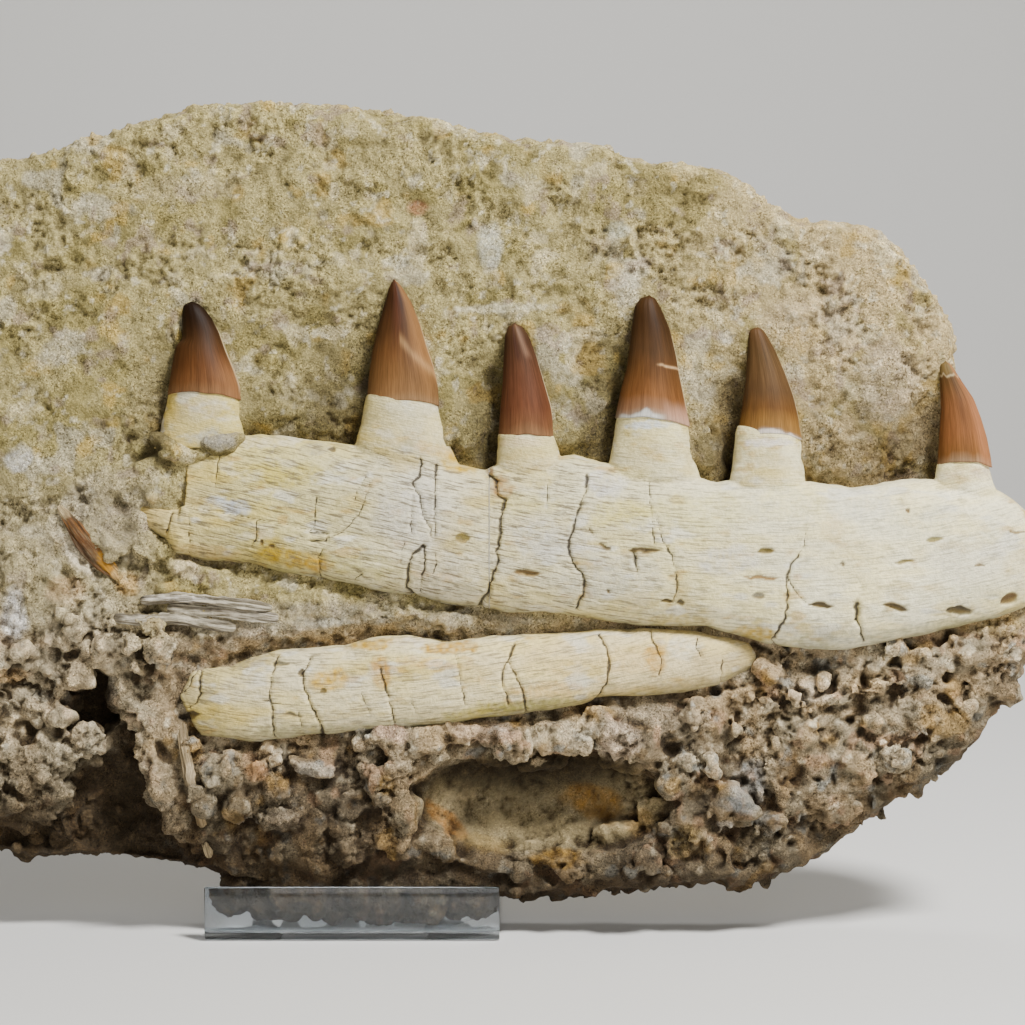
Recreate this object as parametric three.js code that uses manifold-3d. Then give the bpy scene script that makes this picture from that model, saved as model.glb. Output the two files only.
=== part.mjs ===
// A mosasaur jaw fossil: a slab of sandy phosphate matrix with a toothed dentary, a second jaw bone and
// a few bone splinters on its face. The slab leans in a small one-piece easel of clear acrylic sheet.
// Millimetres, +Z up. The fossil faces -Y. The slab is drawn upright, then its group leans back.
import * as THREE from "three";
import { mergeVertices } from "three/addons/utils/BufferGeometryUtils.js";
import Module from "manifold-3d";

const wasm = await Module();
wasm.setup();

// ---- Driving dimensions -------------------------------------------------------------------------

const pieceGap = 0.3; // left between every two pieces that touch
const slabLean = THREE.MathUtils.degToRad(4);
const slabDrop = 1.5; // how far the leaning slab sits below its drawn height

const easel = {
  sheet: 3, // thickness of the acrylic
  width: 102,
  lipFront: -22, // outer face of the upturned lip
  lipHeight: 19,
  backEnd: 128,
  bendRadius: 5, // outside of each heat bend
  tongueStart: 17, // where the tongue's bend begins
  tongueWidth: 49,
  tongueLength: 94,
  tongueLean: THREE.MathUtils.degToRad(8),
  sawCut: 1, // width of the slot cut round the tongue
};

const slab = {
  centre: [27, 152], // x and z that the outline is drawn about
  halfWidth: 218,
  halfHeight: 138,
  face: 24, // depth of the front face ahead of the slab's middle
  back: 24,
  rimFront: 11, // where the broken side wall meets the front and the back
  rimBack: 12,
  rimInset: 3.5,
  cells: 21, // facets across each face
  // Broken edge of the slab, anticlockwise from the jaw's tip: x, z
  outline: [
    [242, 130], [235, 144], [226, 154], [218, 165], [212, 181], [208, 198], [206, 213], [199, 221],
    [184, 242], [172, 248], [156, 249], [146, 253], [127, 264], [103, 268], [86, 274], [61, 275],
    [30, 282], [0, 288], [-47, 290], [-73, 282], [-104, 273], [-142, 264], [-163, 251], [-181, 227],
    [-192, 192], [-194, 153], [-190, 111], [-176, 73], [-156, 46], [-121, 29], [-87, 28], [-52, 23],
    [0, 12], [34, 16], [58, 13], [86, 15], [120, 17], [141, 18], [164, 27], [189, 46],
    [203, 54], [219, 68], [234, 91], [241, 110],
  ],
};

// How the slab's faces depart from flat planes
const relief = {
  lowerFall: 7.5, // how far the lower half of the front draws back under the bones
  cornerFall: 6, // more at the lower left
  leftFall: 5, // and more towards the back of the jaw
  sandLumps: 0.9, // height of the lumps in the sandy upper part
  rubbleLumps: 2.6, // and in the rubble below the dentary
  lumpSize: 19,
  swell: 1.6, // long low swells of the whole face
  swellSize: 55,
  crispEdge: 11, // width of the rounded edge along the top
  softEdge: 26, // and along the foot
  backRough: 1.4,
  backRoughSize: 32,
  backEdge: 24,
};

// Bones lie on the face. Each has its upper and lower edge (x, z), how far it stands ahead of the line
// where its front meets its back (x, bulge), and the depth of its back.
const dentary = {
  seat: 19,
  backDepth: 9,
  stations: 27,
  sides: 12,
  top: [
    [-76, 151], [-69, 151.5], [-59, 151], [-56.5, 168], [-47, 174], [-32, 175.5], [-4, 172.5],
    [17, 171.5], [34, 166], [46, 163], [65, 166.5], [77, 168], [86, 165.5], [103, 164], [126, 159.5],
    [141, 160.5], [160, 158.5], [172, 157], [194, 160], [210, 159.5], [224, 156], [232, 150],
    [239, 142], [244.5, 130],
  ],
  bottom: [
    [-76, 150], [-73, 144], [-65, 139.5], [-60, 134], [-50, 132], [-34, 131], [-24, 128], [-4, 125],
    [7, 122], [25, 119.5], [35, 116.5], [54, 114], [77, 113], [100, 110], [122, 108.5], [144, 103],
    [158, 101], [172, 101], [189, 104], [206, 108], [224, 112], [232, 115], [241, 121], [244.5, 129],
  ],
  bulge: [[-76, 4], [-60, 9.5], [-30, 11.5], [40, 13], [150, 14.5], [210, 13.5], [235, 10], [244.5, 3]],
};

const lowerBone = {
  seat: 18,
  backDepth: 9,
  stations: 17,
  sides: 10,
  top: [
    [-59.5, 84], [-55, 93], [-42, 95], [-26, 101], [-3, 102.5], [19, 106.3], [33, 104.2], [48, 106],
    [80, 107.3], [101, 108.3], [118, 107.3], [129, 105.5], [137, 103.5], [140.5, 98.5],
  ],
  bottom: [
    [-59.5, 83], [-55, 74.5], [-52, 71], [-35, 69.3], [-11, 71.8], [19, 73.5], [44, 77], [66, 79.7],
    [80, 82], [87, 84.5], [104, 85.2], [125, 88.7], [137, 94], [140.5, 97.5],
  ],
  bulge: [[-59.5, 4], [-45, 10], [20, 12], [80, 11.5], [125, 9], [140.5, 3]],
};

// Teeth, back to front. x and z are the middle of the crown's base; the tip leans towards the back of
// the jaw. taper is the power that the crown thins by, so a small one gives a blunt tooth. The root
// flares to footWidth about footX at footZ, where it joins the dentary.
const teeth = [
  { x: -50.9, z: 189.1, width: 25.5, height: 32.6, tipShift: -4.5, taper: 0.5, tilt: -0.07,
    footX: -52.1, footZ: 171.5, footWidth: 29 },
  { x: 17.3, z: 186.3, width: 26.6, height: 42.9, tipShift: -2.3, taper: 0.58, tilt: -0.03,
    footX: 17.8, footZ: 163.5, footWidth: 42 },
  { x: 60.7, z: 174.6, width: 21, height: 39.8, tipShift: -5, taper: 0.47, tilt: 0,
    footX: 61.8, footZ: 161, footWidth: 25 },
  { x: 103.9, z: 180.2, width: 25.8, height: 43.8, tipShift: -1.7, taper: 0.52, tilt: -0.13,
    footX: 104.4, footZ: 157, footWidth: 36 },
  { x: 143.9, z: 175, width: 23.2, height: 37.3, tipShift: -4, taper: 0.46, tilt: -0.06,
    footX: 143.4, footZ: 154, footWidth: 28.5 },
  { x: 211.1, z: 165.3, width: 19, height: 35.6, tipShift: -6.9, taper: 0.55, tilt: -0.02,
    footX: 212.3, footZ: 153, footWidth: 25 },
];
const toothDepth = { middle: 23, share: 0.36, footFront: 28, footBack: 15 };

// Splinters of bone: the line each follows (x, z), its half-width, how far it stands ahead of the face
// of the slab and how deep it is set in it.
const splinters = {
  bone_splinter_upper: {
    line: [[-101, 151], [-92, 141], [-84, 131], [-78, 125]],
    halfWidth: 5.6,
    rise: 3.5,
    set: 6,
  },
  bone_splinter_flat: {
    line: [[-86, 118], [-66, 117.5], [-44, 115], [-24, 112]],
    halfWidth: 4.2,
    rise: 3,
    set: 6,
  },
  bone_splinter_lower: {
    line: [[-59, 76], [-56, 60], [-53, 42], [-50, 27]],
    halfWidth: 3.2,
    rise: 3.5,
    set: 5,
  },
};

// Hollows in the face, each an ellipsoid bite: x, z, half-width, half-height, and the y of its middle
// and of its deepest point.
const hollows = [
  { x: -90, z: 82, rx: 10, rz: 12.5, middle: -20, floor: -1 }, // deep hole
  { x: -84, z: 47, rx: 17, rz: 21, middle: -18, floor: -3 }, // undercut at the lower left
  { x: 61.6, z: 47.5, rx: 43, rz: 17, middle: -20, floor: -5 }, // smooth oval mould
];
// The face is also hollowed round each tooth, by shares of its height, and between the teeth.
const toothHollow = { side: 6, floor: -18.5, middle: -27, centre: 0.45, halfHeight: 0.62, shift: -2 };
const valleys = [
  { x: -20, z: 184, rx: 17, rz: 15, middle: -27, floor: -20 },
  { x: 41, z: 180, rx: 8.5, rz: 17, middle: -27, floor: -16.5 },
  { x: 82, z: 177, rx: 8.5, rz: 16, middle: -27, floor: -16.5 },
  { x: 124.5, z: 172, rx: 8.5, rz: 17, middle: -27, floor: -16.5 },
  { x: 178, z: 173, rx: 24, rz: 19, middle: -27, floor: -19 },
];

// The knobs that the slab stands on, inside the easel: x, y, radius
const knobs = [[-24, -4, 8], [8, -6, 7], [26, 2, 8], [-4, 8, 7]];
const knobShape = { tall: 1.35, deep: 0.9 };

// ---- Small helpers ------------------------------------------------------------------------------

const { clamp, lerp } = THREE.MathUtils;
const ease = (t) => THREE.MathUtils.smoothstep(t, 0, 1);

// Height of a quarter circle of radius 1, for a rounded edge that ends flat
const roundedEdge = (share) => Math.sqrt(1 - (1 - clamp(share, 0, 1)) ** 2);

// A height read off a polyline of [x, value] pairs.
function along(points, x) {
  const last = points.length - 1;
  if (x <= points[0][0]) return points[0][1];
  if (x >= points[last][0]) return points[last][1];
  const i = points.findIndex((p) => p[0] > x);
  const [x0, v0] = points[i - 1];
  const [x1, v1] = points[i];
  return lerp(v0, v1, (x - x0) / (x1 - x0));
}

// Repeatable value from -1 to 1 for a whole-number point, and smooth noise between such points.
function latticeValue(i, j, k) {
  let h = (Math.imul(i, 374761393) + Math.imul(j, 668265263) + Math.imul(k, 1442695041)) | 0;
  h = Math.imul(h ^ (h >>> 13), 1274126177);
  return ((h ^ (h >>> 16)) >>> 0) / 2147483648 - 1;
}

function noise(x, y, z) {
  const [i, j, k] = [Math.floor(x), Math.floor(y), Math.floor(z)];
  const [u, v, w] = [x - i, y - j, z - k].map((t) => t * t * (3 - 2 * t));
  const edge = (b, c) => lerp(latticeValue(i, b, c), latticeValue(i + 1, b, c), u);
  const side = (c) => lerp(edge(j, c), edge(j + 1, c), v);
  return lerp(side(k), side(k + 1), w);
}

// A geometry with every vertex moved by a function of its place.
function shaped(geometry, place) {
  const points = geometry.attributes.position;
  const v = new THREE.Vector3();
  for (let i = 0; i < points.count; i++) {
    place(v.fromBufferAttribute(points, i));
    points.setXYZ(i, v.x, v.y, v.z);
  }
  return geometry;
}

// A closed geometry as a solid, turned to face outwards.
function solid(geometry) {
  const bare = geometry.clone();
  bare.deleteAttribute("normal");
  bare.deleteAttribute("uv");
  const merged = mergeVertices(bare, 1e-3);
  const vertProperties = merged.attributes.position.array;
  const triVerts = new Uint32Array(merged.index.array);
  const made = new wasm.Manifold(new wasm.Mesh({ numProp: 3, vertProperties, triVerts }));
  if (made.volume() > 0) return made;
  triVerts.reverse();
  return new wasm.Manifold(new wasm.Mesh({ numProp: 3, vertProperties, triVerts }));
}

const largest = (made) => made.decompose().sort((a, b) => b.volume() - a.volume())[0];

function geometryOf(made) {
  const mesh = made.getMesh();
  const geometry = new THREE.BufferGeometry();
  geometry.setAttribute("position", new THREE.BufferAttribute(mesh.vertProperties, 3));
  geometry.setIndex(new THREE.BufferAttribute(mesh.triVerts, 1));
  geometry.computeVertexNormals();
  return geometry;
}

function material(color, roughness, extra = {}) {
  return new THREE.MeshStandardMaterial({ color, roughness, metalness: 0, ...extra });
}

// ---- Bones --------------------------------------------------------------------------------------

// A long bone: each ring of the sphere becomes one upright section, rounder at the front than a circle.
// grow makes the same bone fatter all over.
function boneGeometry(bone, grow = 0) {
  const left = bone.top[0][0] - grow;
  const right = bone.top.at(-1)[0] + grow;
  const squareness = 0.77;
  const swell = (t) => Math.sign(t) * Math.abs(t) ** squareness;
  return shaped(new THREE.SphereGeometry(1, bone.sides, bone.stations), (v) => {
    const polar = Math.acos(clamp(v.y, -1, 1));
    const ring = Math.sin(polar);
    const x = lerp(left, right, polar / Math.PI);
    const [upper, lower] = [along(bone.top, x), along(bone.bottom, x)];
    const middle = (upper + lower) / 2;
    if (ring < 1e-6) {
      v.set(x, -bone.seat, middle);
      return;
    }
    const forward = swell(v.x / ring);
    const depth = forward > 0 ? along(bone.bulge, x) + grow : bone.backDepth + grow;
    v.set(x, -bone.seat - forward * depth, middle + swell(v.z / ring) * ((upper - lower) / 2 + grow));
  });
}

// A splinter: a spindle along a curve in the slab's face.
function splinterGeometry({ line, halfWidth, rise, set }, grow = 0) {
  const curve = new THREE.CatmullRomCurve3(line.map(([x, z]) => new THREE.Vector3(x, 0, z)));
  return shaped(new THREE.SphereGeometry(1, 8, 9), (v) => {
    const t = Math.acos(clamp(v.y, -1, 1)) / Math.PI;
    const [ring, across, forward] = [Math.sin(t * Math.PI), v.z, v.x];
    const at = curve.getPoint(t);
    const heading = curve.getTangent(t);
    const full = ring > 1e-6 ? ring ** -0.5 : 0; // blunter ends than a plain spindle
    const side = across * full * (halfWidth + grow);
    const depth = forward * full * (forward > 0 ? rise + grow : set + grow);
    v.set(at.x - heading.z * side, -faceAt(at.x, at.z) - depth, at.z + heading.x * side);
  });
}

// ---- Teeth --------------------------------------------------------------------------------------

// Ring heights of a crown as shares of its height, and the lathe profile that they give.
const crownRings = [0, 0.25, 0.52, 0.76, 0.92];

function crownGeometry(tooth, grow = 0) {
  const profile = crownRings.map((h) => new THREE.Vector2((1 - h) ** tooth.taper, h));
  const points = [new THREE.Vector2(0, 0), ...profile, new THREE.Vector2(0, 1)];
  const halfDepth = tooth.width * toothDepth.share + grow;
  return shaped(new THREE.LatheGeometry(points, 12), (v) => {
    const h = v.y;
    const [across, forward] = [v.x, v.z];
    const bend = Math.abs(h) ** 1.7;
    v.x = tooth.x + tooth.tipShift * bend + across * (tooth.width / 2 + grow);
    v.y = -toothDepth.middle - forward * halfDepth;
    v.z = tooth.z + h * (tooth.height + grow) + tooth.tilt * across * (tooth.width / 2) * (1 - h);
    if (h === 0) v.z -= grow;
  });
}

function rootGeometry(tooth, grow = 0) {
  const topZ = tooth.z - pieceGap;
  const rings = [0, 0.3, 1];
  const points = [
    new THREE.Vector2(0, 0),
    ...rings.map((h) => new THREE.Vector2(1, h)),
    new THREE.Vector2(0, 1),
  ];
  const crownDepth = tooth.width * toothDepth.share;
  return shaped(new THREE.LatheGeometry(points, 12), (v) => {
    const h = v.y;
    const [across, forward] = [v.x, v.z];
    const pinch = h ** 0.6; // the root narrows quickly above its foot
    const halfWidth = lerp(tooth.footWidth / 2, tooth.width / 2 - 0.4, pinch) + grow;
    const front = lerp(toothDepth.footFront, toothDepth.middle + crownDepth - 0.4, pinch) + grow;
    const back = lerp(toothDepth.footBack, toothDepth.middle - crownDepth, pinch) - grow;
    v.x = lerp(tooth.footX, tooth.x, pinch) + across * halfWidth;
    v.y = -(front + back) / 2 - forward * (front - back) / 2;
    v.z = lerp(tooth.footZ - grow, topZ + grow, h) + tooth.tilt * across * (tooth.width / 2) * h;
  });
}

// ---- Slab ---------------------------------------------------------------------------------------

// Distance from the slab's centre to its edge, in every direction, from a smooth closed curve.
const outlineReach = (() => {
  const [cx, cz] = slab.centre;
  const ring = slab.outline.map(([x, z]) => new THREE.Vector3(x - cx, z - cz, 0));
  const curve = new THREE.CatmullRomCurve3(ring, true, "catmullrom", 0.5);
  const samples = Array.from({ length: 1200 }, (_, i) => curve.getPoint(i / 1200));
  const table = samples.map((p) => [Math.atan2(p.y, p.x), Math.hypot(p.x, p.y)]);
  table.sort((a, b) => a[0] - b[0]);
  const first = table[0];
  const last = table.at(-1);
  const wrapped = [[last[0] - 2 * Math.PI, last[1]], ...table, [first[0] + 2 * Math.PI, first[1]]];
  return (angle) => along(wrapped, angle);
})();

// A square's point (a, b) as a share of the way out and a direction, so that a square grid fills a disc.
function squareToDisc(a, b) {
  if (a === 0 && b === 0) return [0, 0];
  if (Math.abs(a) > Math.abs(b)) return [a, (Math.PI / 4) * (b / a)];
  return [b, Math.PI / 2 - (Math.PI / 4) * (a / b)];
}

// Front face: depth ahead of the slab's middle at x, z, where the edge is `inside` millimetres away.
function faceDepth(x, z, inside) {
  const lower = ease((118 - z) / 100);
  const lowerLeft = ease((62 - z) / 45) * ease((-35 - x) / 45);
  const farLeft = ease((-105 - x) / 85);
  const rubble = ease((125 - z) / 25);
  const { lumpSize, swellSize } = relief;
  const lumps = noise(x / lumpSize, 3, z / lumpSize) * lerp(relief.sandLumps, relief.rubbleLumps, rubble);
  const swell = noise(x / swellSize, 7, z / swellSize) * relief.swell;
  const fall = relief.lowerFall * lower + relief.cornerFall * lowerLeft + relief.leftFall * farLeft;
  const rounding = lerp(relief.softEdge, relief.crispEdge, ease((z - 60) / 90));
  return lerp(slab.rimFront, slab.face - fall + lumps + swell, roundedEdge(inside / rounding));
}

// The same for a point given by x and z alone
function faceAt(x, z) {
  const [dx, dz] = [x - slab.centre[0], z - slab.centre[1]];
  return faceDepth(x, z, outlineReach(Math.atan2(dz, dx)) - Math.hypot(dx, dz));
}

// Front of the easel's tongue at height z, seen in the leaning slab's own frame
function tongueFace(z) {
  const { tongueStart, tongueLean, bendRadius, sheet } = easel;
  const inner = bendRadius - sheet;
  const foot = [tongueStart + inner * Math.cos(tongueLean), bendRadius - inner * Math.sin(tongueLean)];
  const [c, s, t] = [Math.cos(slabLean), Math.sin(slabLean), Math.tan(tongueLean)];
  return (foot[0] - (foot[1] + slabDrop) * t + z * (c * t - s)) / (c + s * t);
}

// Back face: a rough break, drawn in towards the foot so that it lies along the tongue.
function backDepth(x, z, inside) {
  const rough = noise(x / relief.backRoughSize, 11, z / relief.backRoughSize) * relief.backRough;
  const nearTongue = tongueFace(z) - pieceGap - (rough + relief.backRough) / 3;
  const flat = Math.min(slab.back + rough, nearTongue);
  return lerp(slab.rimBack, flat, roundedEdge(inside / relief.backEdge));
}

function slabGeometry() {
  const { cells, centre, halfWidth, halfHeight, rimInset } = slab;
  return shaped(new THREE.BoxGeometry(2, 2, 2, cells, 2, cells), (v) => {
    const [share, turn] = squareToDisc(v.x, v.z);
    const inset = Math.abs(v.y) > 0.9 ? rimInset : 0;
    const [ex, ez] = [halfWidth * Math.cos(turn), halfHeight * Math.sin(turn)];
    const signed = Math.sign(share) || 1;
    const reach = outlineReach(Math.atan2(ez * signed, ex * signed));
    const out = (Math.abs(share) * (reach - inset) * signed) / Math.hypot(ex, ez);
    const [x, z] = [centre[0] + ex * out, centre[1] + ez * out];
    const inside = (1 - Math.abs(share)) * reach;
    if (v.y < -0.9) v.y = -faceDepth(x, z, inside);
    else if (v.y > 0.9) v.y = backDepth(x, z, inside);
    else v.y = 0;
    v.x = x;
    v.z = z;
  });
}

function biteGeometry({ x, z, rx, rz, middle, floor }) {
  return shaped(new THREE.SphereGeometry(1, 10, 6), (v) => {
    v.set(x + v.x * rx, middle + v.y * (floor - middle), z + v.z * rz);
  });
}

function toothBite(tooth) {
  return biteGeometry({
    x: tooth.x + tooth.tipShift / 2 + toothHollow.shift,
    z: tooth.z + tooth.height * toothHollow.centre,
    rx: tooth.width / 2 + toothHollow.side,
    rz: tooth.height * toothHollow.halfHeight,
    middle: toothHollow.middle,
    floor: toothHollow.floor,
  });
}

// Height of the easel's floor at depth y, seen in the leaning slab's own frame.
const floorAt = (y) =>
  (easel.sheet + pieceGap + slabDrop + y * Math.sin(slabLean)) / Math.cos(slabLean);

function knobGeometry([x, y, radius]) {
  const { tall, deep } = knobShape;
  return shaped(new THREE.SphereGeometry(radius, 8, 6), (v) => {
    v.set(x + v.x, y + v.z * deep, floorAt(y) + (radius + v.y) * tall);
  });
}

function slabSolid(pockets) {
  let made = solid(slabGeometry());
  knobs.forEach((knob) => (made = made.add(solid(knobGeometry(knob)))));
  [...hollows, ...valleys].forEach((h) => (made = made.subtract(solid(biteGeometry(h)))));
  teeth.forEach((tooth) => (made = made.subtract(solid(toothBite(tooth)))));
  pockets.forEach((pocket) => (made = made.subtract(pocket)));
  return largest(made);
}

// ---- Easel --------------------------------------------------------------------------------------

// A side-on profile (y, z) drawn across the easel, centred on x = 0.
function acrossEasel(shape, width) {
  const geometry = new THREE.ExtrudeGeometry(shape, {
    depth: width,
    bevelEnabled: false,
    curveSegments: 5,
  });
  return shaped(geometry, (v) => v.set(v.z - width / 2, v.x, v.y));
}

function easelSolid() {
  const { sheet, lipFront, lipHeight, backEnd, bendRadius: outer } = easel;
  const inner = outer - sheet;
  const base = new THREE.Shape();
  base.moveTo(lipFront, lipHeight);
  base.lineTo(lipFront, outer);
  base.absarc(lipFront + outer, outer, outer, Math.PI, 1.5 * Math.PI, false);
  base.lineTo(backEnd, 0);
  base.lineTo(backEnd, sheet);
  base.lineTo(lipFront + outer, sheet);
  base.absarc(lipFront + outer, outer, inner, 1.5 * Math.PI, Math.PI, true);
  base.lineTo(lipFront + sheet, lipHeight);

  const { tongueStart: start, tongueLength, tongueLean, tongueWidth, sawCut } = easel;
  const rise = new THREE.Vector2(Math.sin(tongueLean), Math.cos(tongueLean));
  const bendEnd = (radius) =>
    new THREE.Vector2(start + radius * Math.cos(tongueLean), outer - radius * Math.sin(tongueLean));
  const outerTop = bendEnd(outer).addScaledVector(rise, tongueLength);
  const innerTop = bendEnd(inner).addScaledVector(rise, tongueLength);
  const tongue = new THREE.Shape();
  tongue.moveTo(start - outer, 0);
  tongue.lineTo(start, 0);
  tongue.absarc(start, outer, outer, 1.5 * Math.PI, 2 * Math.PI - tongueLean, false);
  tongue.lineTo(outerTop.x, outerTop.y);
  tongue.lineTo(innerTop.x, innerTop.y);
  tongue.absarc(start, outer, inner, 2 * Math.PI - tongueLean, 1.5 * Math.PI, true);
  tongue.lineTo(start - outer, sheet);

  const holeLength = tongueLength + outer + sawCut;
  const hole = new THREE.BoxGeometry(tongueWidth + 2 * sawCut, holeLength, 4 * sheet);
  hole.translate(0, start + holeLength / 2, 0);
  return solid(acrossEasel(base, easel.width))
    .subtract(solid(hole))
    .add(solid(acrossEasel(tongue, tongueWidth)));
}

// ---- Assembly -----------------------------------------------------------------------------------

const looks = {
  matrix: material("#a3977a", 0.95),
  bone: material("#d2ccb0", 0.7),
  lowerBone: material("#cbc1a2", 0.7),
  crown: material("#7d5431", 0.28),
  splinter: material("#a98a58", 0.75),
  acrylic: material("#dfe6ee", 0.06, { transparent: true, opacity: 0.3 }),
};

const model = new THREE.Group();
const fossil = new THREE.Group();
fossil.rotation.x = -slabLean;
fossil.position.z = -slabDrop;
model.add(fossil);
const pockets = [];

function addPiece(group, name, made, look) {
  const mesh = new THREE.Mesh(geometryOf(made), look);
  mesh.name = name;
  group.add(mesh);
}

// The roots have grown onto the dentary, so they are one bone with it. The crowns are separate.
const joined = (bodies) => bodies.reduce((made, body) => made.add(body));
const jawWithRoots = (grow) =>
  joined([boneGeometry(dentary, grow), ...teeth.map((t) => rootGeometry(t, grow))].map(solid));
addPiece(fossil, "dentary_with_roots", jawWithRoots(0), looks.bone);
addPiece(fossil, "lower_jaw_bone", solid(boneGeometry(lowerBone)), looks.lowerBone);
const jawBonePockets = [jawWithRoots(pieceGap), solid(boneGeometry(lowerBone, pieceGap))];
pockets.push(...jawBonePockets);
teeth.forEach((tooth, i) => {
  addPiece(fossil, `tooth_crown_${i + 1}`, solid(crownGeometry(tooth)), looks.crown);
  pockets.push(solid(crownGeometry(tooth, pieceGap)));
});

for (const [name, splinter] of Object.entries(splinters)) {
  const whole = solid(splinterGeometry(splinter));
  const clear = jawBonePockets.reduce((made, pocket) => made.subtract(pocket), whole);
  addPiece(fossil, name, largest(clear), looks.splinter);
  pockets.push(solid(splinterGeometry(splinter, pieceGap)));
}

addPiece(fossil, "matrix_slab", slabSolid(pockets), looks.matrix);
addPiece(model, "stand_easel", easelSolid(), looks.acrylic);

// The origin is the middle of the whole model's footprint, on the surface that the easel stands on.
model.updateMatrixWorld(true);
const extent = new THREE.Box3().setFromObject(model, true);
const middle = extent.getCenter(new THREE.Vector3());
model.position.set(-middle.x, -middle.y, 0);

export default model;
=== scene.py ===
import math

import bmesh
import bpy
import numpy as np
from mathutils import Matrix, Vector
from mathutils.kdtree import KDTree


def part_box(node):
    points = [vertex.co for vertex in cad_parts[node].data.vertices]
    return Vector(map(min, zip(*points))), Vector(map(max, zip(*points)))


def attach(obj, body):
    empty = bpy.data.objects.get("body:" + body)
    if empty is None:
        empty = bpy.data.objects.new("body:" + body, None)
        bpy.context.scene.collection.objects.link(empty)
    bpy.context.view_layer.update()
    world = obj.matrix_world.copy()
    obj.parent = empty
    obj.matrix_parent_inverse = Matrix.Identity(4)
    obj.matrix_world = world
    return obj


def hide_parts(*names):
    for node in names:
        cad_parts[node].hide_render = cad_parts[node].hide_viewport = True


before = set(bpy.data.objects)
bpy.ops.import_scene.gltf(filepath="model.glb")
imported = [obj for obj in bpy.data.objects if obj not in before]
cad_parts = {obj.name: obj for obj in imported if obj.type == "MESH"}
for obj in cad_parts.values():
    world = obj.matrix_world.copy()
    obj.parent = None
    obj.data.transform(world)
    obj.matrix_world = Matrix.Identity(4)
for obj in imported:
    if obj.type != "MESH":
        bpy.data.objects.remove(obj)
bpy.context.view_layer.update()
print("frame loaded")

# Everything on the slab is drawn upright in millimetres: x along the jaw, the face towards -y, z up.
# slabPlace then leans it back on the easel, and gives metres.
easelLow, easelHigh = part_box("stand_easel")
stance = {"lean": math.radians(4), "drop": 0.0015, "lipAhead": 0.022}
slabPlace = (
    Matrix.Translation((
        (easelLow.x + easelHigh.x) / 2,
        easelLow.y + stance["lipAhead"],
        -stance["drop"],
    ))
    @ Matrix.Rotation(-stance["lean"], 4, "X")
    @ Matrix.Scale(0.001, 4)
)


def ease(t):
    t = np.clip(t, 0, 1)
    return t * t * (3 - 2 * t)


def mixed(a, b, t):
    return a + (b - a) * t


def linear(hexColour):
    channels = [int(hexColour[i : i + 2], 16) / 255 for i in (1, 3, 5)]
    return np.array([c / 12.92 if c <= 0.04045 else ((c + 0.055) / 1.055) ** 2.4 for c in channels])


def latticeValue(i, j, k):  # a fixed value from -1 to 1 for each whole place
    word = 0xFFFFFFFF
    h = (i * 374761393 + j * 668265263 + k * 1442695041) & word
    h = ((h ^ (h >> 13)) * 1274126177) & word
    return (h ^ (h >> 16)) / 2147483648 - 1


def noise(x, y, z):  # smooth, from -1 to 1, one lump a unit
    x, y, z = np.broadcast_arrays(*[np.asarray(a, float) for a in (x, y, z)])
    cell = [np.floor(a) for a in (x, y, z)]
    u, v, w = [(a - c) ** 2 * (3 - 2 * (a - c)) for a, c in zip((x, y, z), cell)]
    i, j, k = [c.astype(np.int64) for c in cell]

    def edge(b, c):
        return mixed(latticeValue(i, b, c), latticeValue(i + 1, b, c), u)

    def side(c):
        return mixed(edge(j, c), edge(j + 1, c), v)

    return mixed(side(k), side(k + 1), w)


def fractal(x, y, z, octaves=3):
    total = 0
    for n in range(octaves):
        total = total + noise(x * 2**n + 9.7 * n, y * 2**n, z * 2**n + 5.3 * n) / 2**n
    return total / (2 - 0.5 ** (octaves - 1))


def distanceToPath(x, z, path):
    nearest = np.full(np.shape(x), 1e9)
    for (ax, az), (bx, bz) in zip(path[:-1], path[1:]):
        dx, dz = bx - ax, bz - az
        t = np.clip(((x - ax) * dx + (z - az) * dz) / (dx * dx + dz * dz), 0, 1)
        nearest = np.minimum(nearest, np.hypot(x - ax - t * dx, z - az - t * dz))
    return nearest


def valueAt(place, course):  # a course is a list of (place, value)
    return np.interp(place, *np.array(course).T)


def turned(x, z, degrees):  # the same place, measured along axes turned by this much
    c, s = math.cos(math.radians(degrees)), math.sin(math.radians(degrees))
    return x * c + z * s, z * c - x * s


def wholeTurn(steps):
    return np.linspace(0, 2 * math.pi, steps, endpoint=False)


def throughPoints(a, b, c, d, t):  # a smooth curve from b to c
    return (2 * b + (c - a) * t + (2 * a - 5 * b + 4 * c - d) * t**2 + (3 * (b - c) + d - a) * t**3) / 2


def smoothed(values, reach):  # a running mean over this many values each way
    width = 2 * reach + 1
    return np.convolve(np.pad(values, reach, mode="edge"), np.ones(width) / width, "valid")


def newObject(name, mesh):
    obj = bpy.data.objects.new(name, mesh)
    bpy.context.scene.collection.objects.link(obj)
    return obj


def meshFrom(name, points, faces):
    mesh = bpy.data.meshes.new(name)
    mesh.from_pydata(np.asarray(points, float).tolist(), [], [list(f) for f in faces])
    return mesh


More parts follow.
